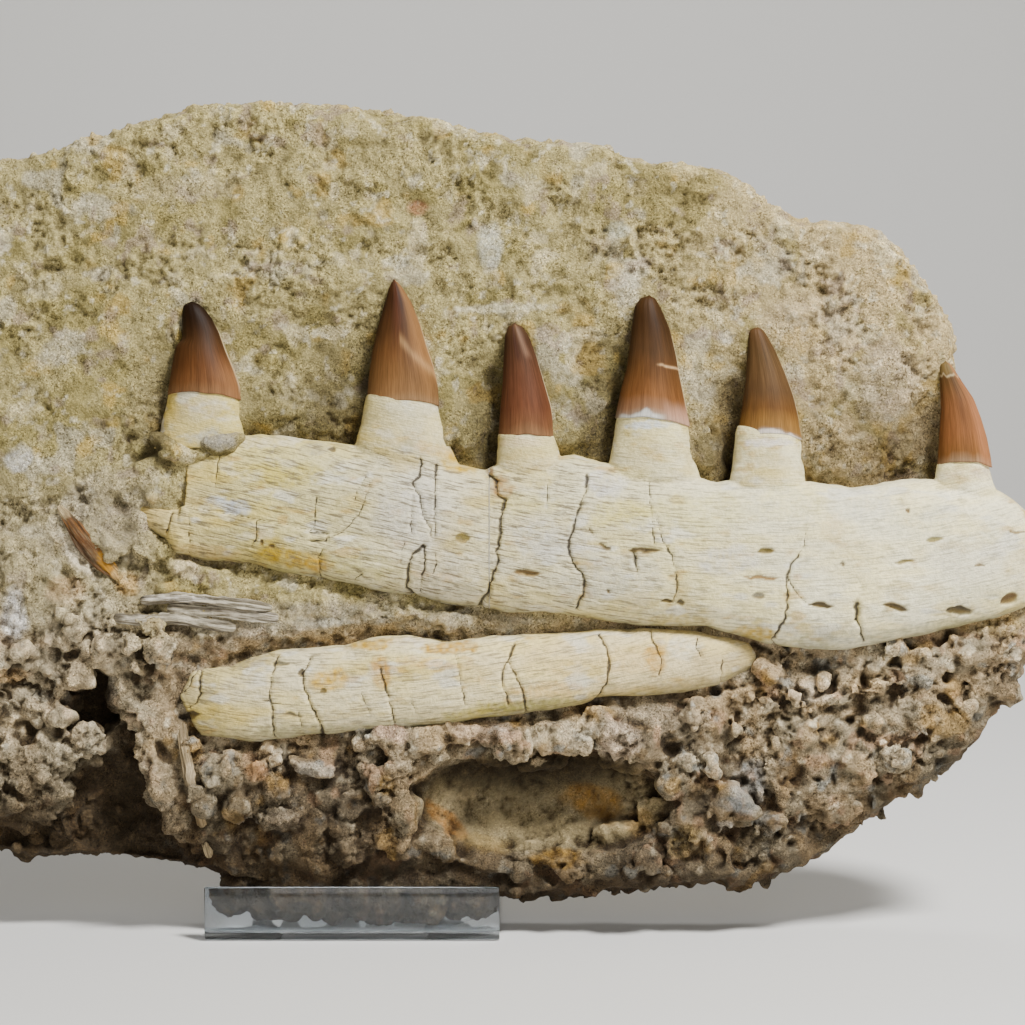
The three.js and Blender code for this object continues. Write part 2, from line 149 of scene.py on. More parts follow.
def loftShell(rings):  # points and quads of a closed shell, rings running round it
    count, sides = rings.shape[:2]
    i, j = [a.ravel() for a in np.meshgrid(np.arange(count - 1), np.arange(sides), indexing="ij")]
    k = (j + 1) % sides
    quads = np.stack([i * sides + j, i * sides + k, (i + 1) * sides + k, (i + 1) * sides + j], 1)
    points = np.concatenate([rings.reshape(-1, 3), [rings[0].mean(0), rings[-1].mean(0)]])
    j = np.arange(sides)
    k = (j + 1) % sides
    last = (count - 1) * sides
    startCap = np.stack([np.full(sides, count * sides), k, j], 1)
    endCap = np.stack([np.full(sides, count * sides + 1), last + j, last + k], 1)
    faces = [*quads.tolist(), *startCap.tolist(), *endCap.tolist()]
    a, b, c = [points[quads[:, n]] for n in (0, 1, 2)]
    volume = np.einsum("ij,ij->", a, np.cross(b, c))
    if volume < 0:
        faces = [f[::-1] for f in faces]
    return points, faces


def joinShells(shells):
    points, faces, start = [], [], 0
    for shellPoints, shellFaces in shells:
        points.append(shellPoints)
        faces += [[n + start for n in f] for f in shellFaces]
        start += len(shellPoints)
    return np.concatenate(points), faces


def bake(obj):  # what the modifiers give becomes the object's own mesh
    depsgraph = bpy.context.evaluated_depsgraph_get()
    mesh = bpy.data.meshes.new_from_object(obj.evaluated_get(depsgraph))
    mesh.name = obj.name
    obj.modifiers.clear()
    obj.data = mesh


def pointsOf(mesh, kind="co"):  # or "normal", for which way they face
    flat = np.empty(len(mesh.vertices) * 3, np.float32)
    mesh.vertices.foreach_get(kind, flat)
    return flat.reshape(-1, 3).astype(float)


def movePoints(mesh, points):
    mesh.vertices.foreach_set("co", points.astype(np.float32).ravel())
    mesh.update()


def storeField(mesh, name, values):
    values = np.asarray(values, np.float32)
    kinds = {1: ("FLOAT", "value"), 3: ("FLOAT_VECTOR", "vector"), 4: ("FLOAT_COLOR", "color")}
    kind, key = kinds[values.shape[1] if values.ndim > 1 else 1]
    if name in mesh.attributes:
        mesh.attributes.remove(mesh.attributes[name])
    mesh.attributes.new(name, kind, "POINT").data.foreach_set(key, values.ravel())


def fieldOf(mesh, name):
    flat = np.empty(len(mesh.vertices), np.float32)
    mesh.attributes[name].data.foreach_get("value", flat)
    return flat.astype(float)


def remesh(obj, sizes):
    modifier = obj.modifiers.new("voxels", "REMESH")
    modifier.mode = "VOXEL"
    modifier.voxel_size = sizes["voxel"]
    bake(obj)


def cutPiece(source, name, low, high):  # the part of a closed mesh inside a box, closed again
    corners = [(x, y, z) for x in (0, 1) for y in (0, 1) for z in (0, 1)]
    points = [[(low[n], high[n])[c[n]] for n in range(3)] for c in corners]
    sides = [(0, 1, 3, 2), (4, 6, 7, 5), (0, 4, 5, 1), (2, 3, 7, 6), (0, 2, 6, 4), (1, 5, 7, 3)]
    cutter = newObject("cutter", meshFrom("cutter", points, sides))
    piece = newObject(name, source.data.copy())
    modifier = piece.modifiers.new("cut", "BOOLEAN")
    modifier.operation = "INTERSECT"
    modifier.solver = "MANIFOLD"
    modifier.object = cutter
    bake(piece)
    bpy.data.objects.remove(cutter)
    return piece


def sharpenCuts(mesh, cuts):  # a sharp edge round each cut at an x, so that no seam shows between pieces
    x = pointsOf(mesh)[:, 0]
    places = [slabPlace[0][0] * cut + slabPlace[0][3] for cut in cuts]
    onCut = np.min([np.abs(x - place) for place in places], 0) < 2e-6
    ends = np.zeros(len(mesh.edges) * 2, dtype=np.int32)
    mesh.edges.foreach_get("vertices", ends)
    sharp = np.zeros(len(mesh.edges), dtype=bool)
    mesh.attributes["sharp_edge"].data.foreach_get("value", sharp)
    sharp |= onCut[ends].reshape(-1, 2).all(axis=1)
    mesh.attributes["sharp_edge"].data.foreach_set("value", sharp)


def finishPiece(obj, material, slot, *nodes, place=slabPlace):
    obj.data.materials.clear()
    obj.data.materials.append(material)
    obj.data.shade_smooth()
    obj.data.transform(place)
    obj.data.update()
    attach(obj, "root")
    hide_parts(*nodes)


def addNode(tree, kind, inputs=None, **settings):
    node = tree.nodes.new(kind)
    for key, value in settings.items():
        setattr(node, key, value)
    for key, value in (inputs or {}).items():
        if isinstance(value, bpy.types.NodeSocket):
            tree.links.new(value, node.inputs[key])
        else:
            node.inputs[key].default_value = value
    return node.outputs


multiplied = {"kind": "ShaderNodeMath", "operation": "MULTIPLY"}  # settings for addNode
added = {"kind": "ShaderNodeMath", "operation": "ADD"}
blurred = {"kind": "GeometryNodeBlurAttribute", "data_type": "FLOAT_VECTOR"}


def newMaterial(name, **settings):  # a Principled material, and its tree and shader
    material = bpy.data.materials.new(name)
    material.use_nodes = True
    shader = material.node_tree.nodes["Principled BSDF"]
    for key, value in settings.items():
        shader.inputs[key.replace("_", " ")].default_value = value
    return material, material.node_tree, shader


def startTree(name, sizes):
    tree = bpy.data.node_groups.new(name, "GeometryNodeTree")
    tree.interface.new_socket("Geometry", in_out="INPUT", socket_type="NodeSocketGeometry")
    for label, value in sizes.items():
        kind = "NodeSocketInt" if isinstance(value, int) else "NodeSocketFloat"
        socket = tree.interface.new_socket(label, in_out="INPUT", socket_type=kind)
        socket.default_value = value
    tree.interface.new_socket("Geometry", in_out="OUTPUT", socket_type="NodeSocketGeometry")
    return tree, tree.nodes.new("NodeGroupInput").outputs


def endTree(tree, geometry, material):
    whole = addNode(tree, "GeometryNodeRealizeInstances", {0: geometry})[0]
    painted = addNode(tree, "GeometryNodeSetMaterial", {"Geometry": whole, "Material": material})[0]
    tree.links.new(painted, tree.nodes.new("NodeGroupOutput").inputs[0])


def runTree(obj, tree, sizes):
    modifier = obj.modifiers.new(tree.name, "NODES")
    modifier.node_group = tree
    for item in tree.interface.items_tree:
        if item.in_out == "INPUT" and item.name in sizes:
            modifier[item.identifier] = sizes[item.name]
    bake(obj)


def paintSpots(points, colour, spots, ragged=0.35):  # stains, laid into the colours that are given
    x, z = points[:, 0], points[:, 2]
    for sx, sz, rx, rz, turn, shade, strength in spots:
        dx, dz = x - sx, z - sz
        near = (np.abs(dx) < 1.6 * max(rx, rz)) & (np.abs(dz) < 1.6 * max(rx, rz))
        if not near.any():
            continue
        dx, dz = turned(dx[near], dz[near], turn)
        u, v = dx / rx, dz / rz
        size = min(rx, rz)
        warp = fractal(x[near] / size, sx, z[near] / size) * ragged
        mask = strength * ease((1.15 - np.hypot(u, v) + warp) / 0.5)
        grain = 0.75 + 0.35 * noise(x[near] / 1.1, 17, z[near] / 1.1)
        colour[near] = mixed(colour[near], linear(shade), (mask * grain)[:, None].clip(0, 1))


def storePaint(mesh, colour, richness):  # colours are laid richer than real, as the light washes them out
    grey = colour @ np.array([0.2126, 0.7152, 0.0722])
    colour = grey[:, None] + (colour - grey[:, None]) * richness
    storeField(mesh, "paint", np.concatenate([colour.clip(0, 1), np.ones((len(colour), 1))], 1))


slab = {
    "centre": (27, 152),
    "face": 24, "back": 24, "rimFront": 11, "rimBack": 12, "rimInset": 2.2,
    "frontRings": 150, "backRings": 36, "spokes": 640,
    "voxel": 0.68, "quickVoxel": 1.6,
    "backKept": 0.2,  # share of the back's faces
    "sharpAngle": 70,
    "outline": [
        (242, 130), (235, 144), (226, 154), (219, 165), (214, 181), (212, 198), (211, 213),
        (205, 224), (188, 245), (174, 250), (158, 251), (148, 256), (128, 270), (104, 272),
        (87, 278), (61, 280), (30, 286), (0, 291), (-47, 293), (-73, 286), (-104, 277),
        (-142, 266), (-163, 251), (-181, 227), (-192, 192), (-194, 153), (-190, 111), (-176, 73),
        (-156, 46), (-121, 29), (-87, 28), (-52, 23), (0, 12), (34, 16), (58, 13), (86, 15),
        (120, 17), (141, 18), (164, 27), (189, 46), (203, 54), (219, 68), (234, 91), (241, 110),
    ],
}
easel = {
    "sheet": 3.0, "width": 102.0, "lipFront": -22.0, "lipHeight": 19.0, "backEnd": 128.0,
    "bendRadius": 5.0, "tongueStart": 17.0, "tongueHalf": 24.5, "tongueLength": 94.0,
    "tongueLean": math.radians(8), "tongueTop": 97.0, "sawCut": 1.0, "edge": 0.4, "gap": 0.3,
}
rockRoom = {"beside": 2, "above": 3, "behindLip": 0.8, "touch": 0.15}  # between the rock and the easel
knobs = [(-24, -4, 8), (8, -6, 7), (26, 2, 8), (-4, 8, 7)]  # feet under the slab: x, y, radius

dentary = {
    "seat": 19, "back": 9, "squareness": 0.77,
    "top": [
        (-75, 152.8), (-69.2, 151.8), (-59.2, 150.4), (-56.8, 168.4), (-47.1, 174.2), (-31.6, 175.6),
        (-17.8, 174.2), (-4, 172.5), (16.7, 171.8), (34, 165.9), (46.1, 163.2), (51.2, 165.3),
        (65, 166.6), (77.1, 168.4), (85.7, 165.6), (103, 163.9), (120.2, 160.4), (126.4, 159.4),
        (140.9, 160.4), (159.9, 158.7), (172, 157.3), (182.3, 158.4), (194.4, 160.1),
        (209.9, 159.7), (223.7, 155.9), (232.4, 149.7), (239.3, 142.5), (243.7, 133.5),
    ],
    "bottom": [
        (-75, 149.4), (-72.6, 143.9), (-64.7, 139.4), (-60.9, 134.5), (-50.2, 131.8), (-34.3, 130.8),
        (-24, 128), (-4, 124.9), (6.7, 121.8), (25, 119.4), (34.7, 116.6), (54, 114.2), (76.4, 112.8),
        (99.5, 109.7), (122.3, 108.7), (133.7, 105.9), (144.4, 102.8), (158.2, 101.1), (172, 101.1),
        (189.2, 104.2), (206.5, 108.3), (223.7, 112.1), (232.4, 114.9), (241, 121.1), (243.7, 125.2),
    ],
    "bulge": [(-76, 4), (-60, 9.5), (-30, 11.5), (40, 13), (150, 14.5), (210, 13.5), (235, 10), (244, 3)],
}
lowerBone = {
    "seat": 18, "back": 9, "squareness": 0.77,
    "top": [
        (-59.2, 85.9), (-55, 93.5), (-42.3, 95.2), (-35.4, 99), (-25.7, 101.1), (-2.6, 102.5),
        (5.7, 105.2), (19.1, 106.3), (32.9, 104.2), (48.1, 105.9), (79.5, 107.3), (100.9, 108.4),
        (118.5, 107.6), (128.9, 105.6), (137.5, 103.4), (139.9, 99.4),
    ],
    "bottom": [
        (-59.2, 83.8), (-55, 74.5), (-52.3, 71.1), (-35.4, 69.3), (-10.9, 71.8), (19.1, 73.5),
        (44.3, 76.9), (65.7, 79.7), (79.5, 81.8), (86.8, 84.5), (104.4, 85.2), (114.7, 86.2),
        (125.4, 88.7), (130.9, 91.1), (137.5, 94.2), (139.9, 97.3),
    ],
    "bulge": [(-59.5, 4), (-45, 10), (20, 12), (80, 11.5), (125, 9), (140.5, 3)],
}
teeth = [
    {"x": -50.9, "z": 189.1, "width": 25.5, "height": 32.6, "tipShift": -4.5, "valley": 3,
     "tilt": -0.07, "footX": -52.8, "footZ": 170.5, "footWidth": 32},
    {"x": 17.3, "z": 186.3, "width": 26.6, "height": 42.9, "tipShift": -2.3, "valley": 6,
     "tilt": -0.03, "footX": 17.8, "footZ": 163.5, "footWidth": 42},
    {"x": 60.7, "z": 174.6, "width": 21, "height": 39.8, "tipShift": -5, "valley": 8,
     "tilt": 0, "footX": 61.8, "footZ": 161, "footWidth": 25},
    {"x": 103.9, "z": 180.2, "width": 25.8, "height": 43.8, "tipShift": -1.7, "valley": 8,
     "tilt": -0.13, "footX": 104.4, "footZ": 157, "footWidth": 36},
    {"x": 143.9, "z": 175, "width": 23.2, "height": 37.3, "tipShift": -4, "valley": 8,
     "tilt": -0.06, "footX": 143.4, "footZ": 154, "footWidth": 28.5},
    {"x": 211.1, "z": 165.3, "width": 19, "height": 35.6, "tipShift": -6.9, "valley": 7,
     "tilt": -0.02, "footX": 212.3, "footZ": 153, "footWidth": 25},
]
toothDepth = {"middle": 23, "share": 0.36, "footFront": 28, "footBack": 15}

ovalMould = {"x": 66, "z": 48, "half": 47, "rise": 19.5, "rim": -20, "floor": -4}
deepHole = {"x": -90, "z": 82, "half": 10.5, "rise": 12.5, "rim": -20, "floor": 1}

# Hollows in the face: x, z, half-width, half-height, then the y of the middle and of the deepest point
hollows = [
    tuple(deepHole.values()),
    (-78, 66, 8, 13, -17, -8),
    (-84, 46, 20, 20, -17, -2),
    (-72, 30, 20, 12, -15, -4),
    tuple(ovalMould.values()),
]
toothHollow = {"side": 6, "floor": -20, "middle": -27, "centre": 0.45, "halfHeight": 0.62, "shift": -3}


def closedCurve(points, steps):
    p = np.array(points, float)
    a, b, c, d = [np.roll(p, n, 0) for n in (1, 0, -1, -2)]
    t = np.linspace(0, 1, steps, endpoint=False)[:, None, None]
    return throughPoints(a, b, c, d, t).transpose(1, 0, 2).reshape(-1, 2)


outlineCurve = closedCurve(slab["outline"], 24) - np.array(slab["centre"])
outlineTurn = np.arctan2(outlineCurve[:, 1], outlineCurve[:, 0])
outlineReach = np.hypot(outlineCurve[:, 0], outlineCurve[:, 1])


def slabReach(turn):
    return np.interp(turn, outlineTurn, outlineReach, period=2 * math.pi)


def insideEdge(x, z):
    dx, dz = x - slab["centre"][0], z - slab["centre"][1]
    return slabReach(np.arctan2(dz, dx)) - np.hypot(dx, dz)


def roundedEdge(share):
    return np.sqrt(1 - (1 - np.clip(share, 0, 1)) ** 2)


def faceDepth(x, z, inside):  # how far the broken face stands ahead of the slab's middle
    lower = ease((118 - z) / 100)
    lowerLeft = ease((62 - z) / 45) * ease((-35 - x) / 45)
    farLeft = ease((-105 - x) / 85)
    rubble = ease((125 - z) / 25)
    lumps = noise(x / 19, 3, z / 19) * mixed(1.5, 2.6, rubble)
    swell = noise(x / 55, 7, z / 55) * 1.6
    fall = 7.5 * lower + 6 * lowerLeft + 5 * farLeft
    rounding = mixed(24, 7, ease((z - 60) / 90))
    return mixed(slab["rimFront"], slab["face"] - fall + lumps + swell, roundedEdge(inside / rounding))


def edgeDistance(x, z, bone):  # to a bone's outline, less than nothing inside it
    path = [*bone["top"], *bone["bottom"][::-1], bone["top"][0]]
    distance = distanceToPath(x, z, path)
    top = valueAt(x, bone["top"])
    bottom = valueAt(x, bone["bottom"])
    within = (x > bone["top"][0][0]) & (x < bone["top"][-1][0]) & (z < top) & (z > bottom)
    return np.where(within, -distance, distance)


def smoothMin(a, b, blend):
    h = np.clip(0.5 + 0.5 * (b - a) / blend, 0, 1)
    return mixed(b, a, h) - blend * h * (1 - h)


def toothHollows():
    return [
        (
            tooth["x"] + tooth["tipShift"] / 2 + toothHollow["shift"],
            tooth["z"] + tooth["height"] * toothHollow["centre"],
            tooth["width"] / 2 + toothHollow["side"],
            tooth["height"] * toothHollow["halfHeight"],
            toothHollow["middle"],
            toothHollow["floor"],
        )
        for tooth in teeth
    ]


def toothEdges(tooth, z):  # x of the left and right side of a crown, or of its root, at a height
    h = (z - tooth["z"]) / tooth["height"]
    down = np.clip((tooth["z"] - z) / (tooth["z"] - tooth["footZ"]), 0, 1)
    middle = tooth["x"] + tooth["tipShift"] * np.clip(h, 0, 1)
    crownHalf = tooth["width"] / 2 * np.clip(1 - h, 0, 1) ** 0.6
    half = np.where(h > 0, crownHalf, mixed(tooth["width"], tooth["footWidth"], down) / 2)
    return middle - half, middle + half


valleys = {"firstWidth": 26, "slope": 0.75, "channel": 0.4, "channelWidth": 4.5}


def valleyDepth(x, z):  # how much is picked away between the teeth, most of it just left of each tooth
    cut = np.zeros(np.shape(x))
    for before, tooth in zip([None, *teeth], teeth):
        left = toothEdges(tooth, z)[0]
        right = toothEdges(before, z)[1] if before else left - valleys["firstWidth"]
        across = np.clip((x - right) / np.maximum(left - right, 1), 0, 1)
        slope = ease(across / 0.9) ** 1.4
        channel = ease(1.2 - np.abs(left - x - 1) / valleys["channelWidth"])
        reach = tooth["z"] + tooth["height"]
        low = ease((reach + 5 - z) / 42) * ease((z - tooth["footZ"] + 10) / 8)
        sway = 1 + 0.25 * noise(x / 9, 31, z / 9)
        here = (x > right) & (x < left + 5)
        share = valleys["slope"] * slope + valleys["channel"] * channel
        cut = np.maximum(cut, np.where(here, tooth["valley"] * sway * low * share, 0))
    return cut


def inMould(x, z):  # 0 in the middle of the oval mould, 1 at its rim
    return np.hypot((x - ovalMould["x"]) / ovalMould["half"], (z - ovalMould["z"]) / ovalMould["rise"])


def frontDepth(x, z):
    inside = insideEdge(x, z)
    depth = faceDepth(x, z, inside)
    crags = 3.2 * noise(x / 24, 5, z / 17) + 2.2 * noise(x / 11, 9, z / 8)
    depth = depth + crags * ease((112 - z) / 20) * ease(inside / 12)
    knots = 1.6 * noise(x / 12, 15, z / 10) * ease((-62 - x) / 12) * ease((175 - z) / 30)
    depth = depth + knots * ease(inside / 12)
    depth = depth - 9 * ease((46 - z) / 16) * ease((-58 - x) / 16) * ease(inside / 10)
    depth = depth - valleyDepth(x, z)
    for hx, hz, rx, rz, middle, floor in [*hollows, *toothHollows()]:
        spread = ((x - hx) / rx) ** 2 + ((z - hz) / rz) ** 2
        cut = -(middle + (floor - middle) * np.sqrt(np.clip(1 - spread, 0, 1)))
        depth = np.where(spread < 1.0, smoothMin(depth, cut, 1.5), depth)
    for bone in (dentary, lowerBone):
        near = ease(1 - edgeDistance(x, z, bone) / 8)
        depth = np.minimum(depth, mixed(depth, bone["seat"] + 1.2, near))
    return depth


def tongueFace(z):  # front of the easel's tongue, seen in the leaning slab's own frame
    lean, radius = easel["tongueLean"], easel["bendRadius"] - easel["sheet"]
    footY = easel["tongueStart"] + radius * math.cos(lean)
    footZ = easel["bendRadius"] - radius * math.sin(lean) + stance["drop"] * 1000
    c, s, t = math.cos(stance["lean"]), math.sin(stance["lean"]), math.tan(lean)
    return (footY - footZ * t + z * (c * t - s)) / (c + s * t)


def floorHeight(y):
    base = easel["sheet"] + easel["gap"] + stance["drop"] * 1000
    return (base + y * math.sin(stance["lean"])) / math.cos(stance["lean"])


def backDepth(x, z, inside):
    rough = noise(x / 32, 11, z / 32) * 1.4
    flat = np.minimum(slab["back"] + rough, tongueFace(z) - easel["gap"] - (rough + 1.4) / 3)
    away = ease((np.hypot(x / 40, (z - 50) / 60) - 1) / 0.5)  # the break is uneven clear of the easel
    flat = flat + away * (2.4 * fractal(x / 50, 17, z / 42, 3) - 0.3)
    return mixed(slab["rimBack"], flat, roundedEdge(inside / 24))


def slabShell():
    turn = wholeTurn(slab["spokes"])
    reach = slabReach(turn)
    middleX, middleZ = slab["centre"]
    wall = [(-8, 1.8), (-4, 0.6), (0, 0), (4, 0.6), (8, 1.8)]  # y, and how far inside the outline

    def ring(radius, y):
        return np.stack([middleX + radius * np.cos(turn), y, middleZ + radius * np.sin(turn)], 1)

    rings = []
    for share in np.linspace(0.01, 1, slab["frontRings"]):
        radius = share * (reach - slab["rimInset"])
        x, z = middleX + radius * np.cos(turn), middleZ + radius * np.sin(turn)
        rings.append(ring(radius, -frontDepth(x, z)))
    for y, inset in wall:
        rings.append(ring(reach - inset, np.full(len(turn), float(y))))
    for share in np.linspace(1, 0.02, slab["backRings"]):
        radius = share * (reach - slab["rimInset"])
        x, z = middleX + radius * np.cos(turn), middleZ + radius * np.sin(turn)
        rings.append(ring(radius, backDepth(x, z, (1 - share) * reach)))
    return loftShell(np.array(rings))


ball = bmesh.new()
bmesh.ops.create_icosphere(ball, subdivisions=3, radius=1)
ballPoints = np.array([v.co for v in ball.verts])
ballFaces = [[v.index for v in f.verts] for f in ball.faces]
ball.free()


def lumpShell(centre, radii, turn=0.0, blocky=0.0, seed=0):  # a pebble, or a blocky chip
    p = np.sign(ballPoints) * np.abs(ballPoints) ** (1 - blocky)
    p = p * (1 + 0.22 * noise(p[:, 0] * 1.7 + seed, p[:, 1] * 1.7, p[:, 2] * 1.7)[:, None])
    p = p * np.array(radii)
    x, z = turned(p[:, 0], p[:, 2], -turn)
    return np.stack([x, p[:, 1], z], 1) + np.array(centre), ballFaces


# Boulders and chips that show in the rubble: x, z, half-length, half-height, how far they stand out of
# the face, turn in degrees, and how blocky they are
boulders = [
    # nodules and crags at the lower left
    (-113, 60, 12, 10, 4, 10, 0.1), (-103, 66, 9, 7, 3.5, -20, 0.1), (-117, 45, 9, 7, 2, 0, 0.1),
    (-104, 51, 7, 6, 2.5, 30, 0.1), (-108, 82, 8, 7, 3, 0, 0.0), (-101, 97, 7, 6, 3, 0, 0.0),
    (-99, 104, 4.5, 4, 3, 0, 0.0), (-92, 101, 3.8, 3.6, 3, 0, 0.0), (-79, 86, 7, 8, 3, 0, 0.1),
    (-74, 75, 5, 6, 2, 40, 0.1), (-70, 66, 4.5, 8, 3, 10, 0.1), (-66, 55, 5, 9, 3.5, 12, 0.1),
    (-60, 44, 6, 8, 4, 10, 0.2), (-57, 38, 6, 4.5, 4.5, 0, 0.2),
    # the ledge of rubble right of them
    (-46, 58, 6.5, 7, 3.5, 0, 0.1), (-40, 47, 5, 6, 4.5, 0, 0.1), (-33, 59, 4.5, 4, 3.5, 30, 0.3),
    (-26, 53, 4.6, 4.6, 3.5, 0, 0.1), (-24, 42, 8, 4.5, 5, 5, 0.3), (-13, 60, 8, 3.2, 5, -8, 0.4),
    (-9, 50, 5, 4, 3.5, 0, 0.1), (0, 47, 6, 5, 4, 20, 0.2), (4, 75, 4, 4.5, 4.5, 0, 0.0),
    (13.5, 74, 8, 4, 5.5, -25, 0.5), (6, 64, 4.5, 4, 3, 0, 0.2), (14, 60, 7, 3, 4.5, 35, 0.4),
    (-16, 71, 4, 3, 3, 0, 0.2), (-30, 66, 3.5, 3, 3, 0, 0.1), (-4, 40, 6, 5, 3.5, 0, 0.1),
    (14, 36, 7, 6, 4.5, -30, 0.2), (5, 33, 5, 5, 3, 0, 0.1), (-50, 33, 7, 5, 1.5, 0, 0.1),
    (-33, 30, 8, 5, 1.0, 0, 0.1),
    # the mould's rim, and the rock right of it
    (18, 46, 6, 8, 3.5, 20, 0.1), (29, 33, 9, 4.5, 3.5, -28, 0.1), (46, 26.5, 9, 3.5, 3.5, -10, 0.1),
    (93, 36, 10, 5, 3.5, 10, 0.2), (106, 44, 8, 6, 3, 20, 0.2), (112, 55, 7, 6, 2.5, 0, 0.1),
    (131, 47, 7, 8, 4, 8, 0.5), (127, 30, 5, 9, 4, 3, 0.5), (117, 33, 6, 6, 2.5, 0, 0.3),
    # crusts and lumps under the jaw's tip
    (146, 93, 7, 2.2, 3, 62, 0.3), (153, 84, 7, 2.4, 3.5, -42, 0.3), (165, 83, 9, 2.4, 3.5, 12, 0.3),
    (180, 88, 8, 2.2, 3, 10, 0.3), (157, 72, 7, 6, 2.5, 0, 0.1), (176, 62, 8, 6, 2.5, 0, 0.1),
    (168, 46, 9, 6, 2.5, 20, 0.1), (190, 78, 8, 7, 2, 0, 0.1), (205, 88, 8, 7, 1.5, 0, 0.1),
    (200, 66, 7, 5, 2, 30, 0.1), (215, 100, 7, 5, 1.5, 0, 0.1),
    # lumps left of the jaw
    (-94, 128, 9, 3.5, 2.2, -42, 0.2), (-104, 128, 8, 6, 1.8, 0, 0.1), (-117, 128, 7, 9, 2.5, 0, 0.1),
    (-78, 124.5, 6, 3, 1.6, -35, 0.2), (-84, 137.5, 7, 3.5, 2.4, -45, 0.3), (-92, 122, 6, 5, 1.6, 0, 0.2),
    (-62, 122.5, 7, 2.6, 1.6, -4, 0.3), (-44, 119.5, 7, 2.4, 1.4, -4, 0.3),
    (-56, 68, 4, 3, 4, 10, 0.3), (-54, 52, 4, 3.4, 4, -10, 0.3), (-51, 37, 4, 3.5, 4, 20, 0.3),
]


def boulderShells():
    x, z = np.array([b[:2] for b in boulders], float).T
    depth = frontDepth(x, z)
    shells = []
    for n, (bx, bz, rx, rz, proud, turn, blocky) in enumerate(boulders):
        ry = 0.5 * (rx + rz)
        centre = (bx, -(depth[n] + proud - ry), bz)
        shells.append(lumpShell(centre, (rx, ry, rz), turn, blocky, seed=7.3 * n))
    return shells


# Pieces of matrix that stand free of the face: centre (x, y, z), radii, turn, blockiness
fragments = [
    # sand left on the first root's foot
    ((-45, -17, 172), (9, 12.2, 4.6), -6, 0.3), ((-52.5, -17, 169.5), (6, 11.6, 4), 10, 0.3),
    ((-61, -17, 169.5), (9, 12.4, 5.2), -12, 0.35), ((-60.6, -19, 212), (1.3, 3.5, 7), 9, 0.1),
    ((-61, -15, 161.5), (7, 11.6, 7), 0, 0.3), ((-63.5, -14.5, 154), (9.5, 11, 6), -4, 0.3),
    # the matrix that the jaw's broken left end is sunk in
    ((-68, -14, 161), (9, 12, 8.5), 15, 0.35), ((-75, -14, 155), (9, 10.5, 7), -20, 0.35),
    ((-82, -13, 160), (9, 10.5, 9), 0, 0.3), ((-76, -14, 143.5), (8, 11, 6.5), -30, 0.35),
    ((-69, -14, 136.5), (8, 11.5, 6), -25, 0.35), ((-60, -14, 128.5), (9, 11.5, 5.5), -10, 0.35),
    ((-84, -13, 150), (7, 10, 8), 30, 0.3), ((-48, -14, 126), (8, 10.5, 4.5), -6, 0.35),
    # the ledge of angular stones over the oval mould
    ((14, -19, 68.5), (9, 7.5, 4.8), -35, 0.5), ((25.5, -18.5, 70), (8, 8, 4.6), 10, 0.5),
    ((37.5, -19, 71.5), (6, 7.5, 5), -15, 0.45), ((46.5, -16.5, 71.5), (5, 6, 4.5), 0, 0.4),
    ((56, -18.5, 69.5), (6.5, 8, 6.5), 0, 0.3), ((67.5, -18, 71), (5, 7.5, 6), 0, 0.35),
    ((76, -19.5, 70), (7, 8, 5), 8, 0.5), ((88.5, -19.5, 73), (11, 8, 6), -35, 0.45),
    ((101, -19, 69.5), (8, 7.5, 8), 0, 0.35), ((110, -16, 62), (6, 6.5, 6), 0, 0.3),
    ((65, -13.5, 62.5), (8, 6.5, 3.6), 4, 0.3), ((50, -13, 64), (6, 6, 3.2), -6, 0.3),
    ((20, -16, 60.5), (8, 6.5, 3.4), 35, 0.4), ((94, -13, 62), (8, 6, 3.4), -14, 0.3),
]


def fragmentShells():
    return [
        lumpShell(centre, radii, turn, blocky, seed=5.1 * n + 2)
        for n, (centre, radii, turn, blocky) in enumerate(fragments)
    ]


def footShells():  # the low uneven edge that the slab stands on inside the easel
    tall, deep = 1.35, 0.9
    shells = []
    for n, (x, y, radius) in enumerate(knobs):
        up = floorHeight(y) + radius * tall
        shells.append(lumpShell((x, y, up), (radius, radius * deep, radius * tall), seed=3 * n))
    for n, x in enumerate(np.linspace(-40, 42, 11)):
        sway, rise = float(noise(n * 1.7, 3, 5)), float(noise(n * 2.3, 8, 1))
        shells.append(lumpShell((x, -4 + 5 * sway, 16 + 2 * rise), (8, 9, 10), 25 * sway, 0.15, seed=n + 40))
    return shells


rubble = {
    "Pebble Spacing": 8.6,
    "Smallest Pebble": 2.6,
    "Largest Pebble": 6.4,
    "Grit Spacing": 5.0,
    "Smallest Grit": 1.1,
    "Largest Grit": 2.6,
    "Rubble Seed": 5,
}


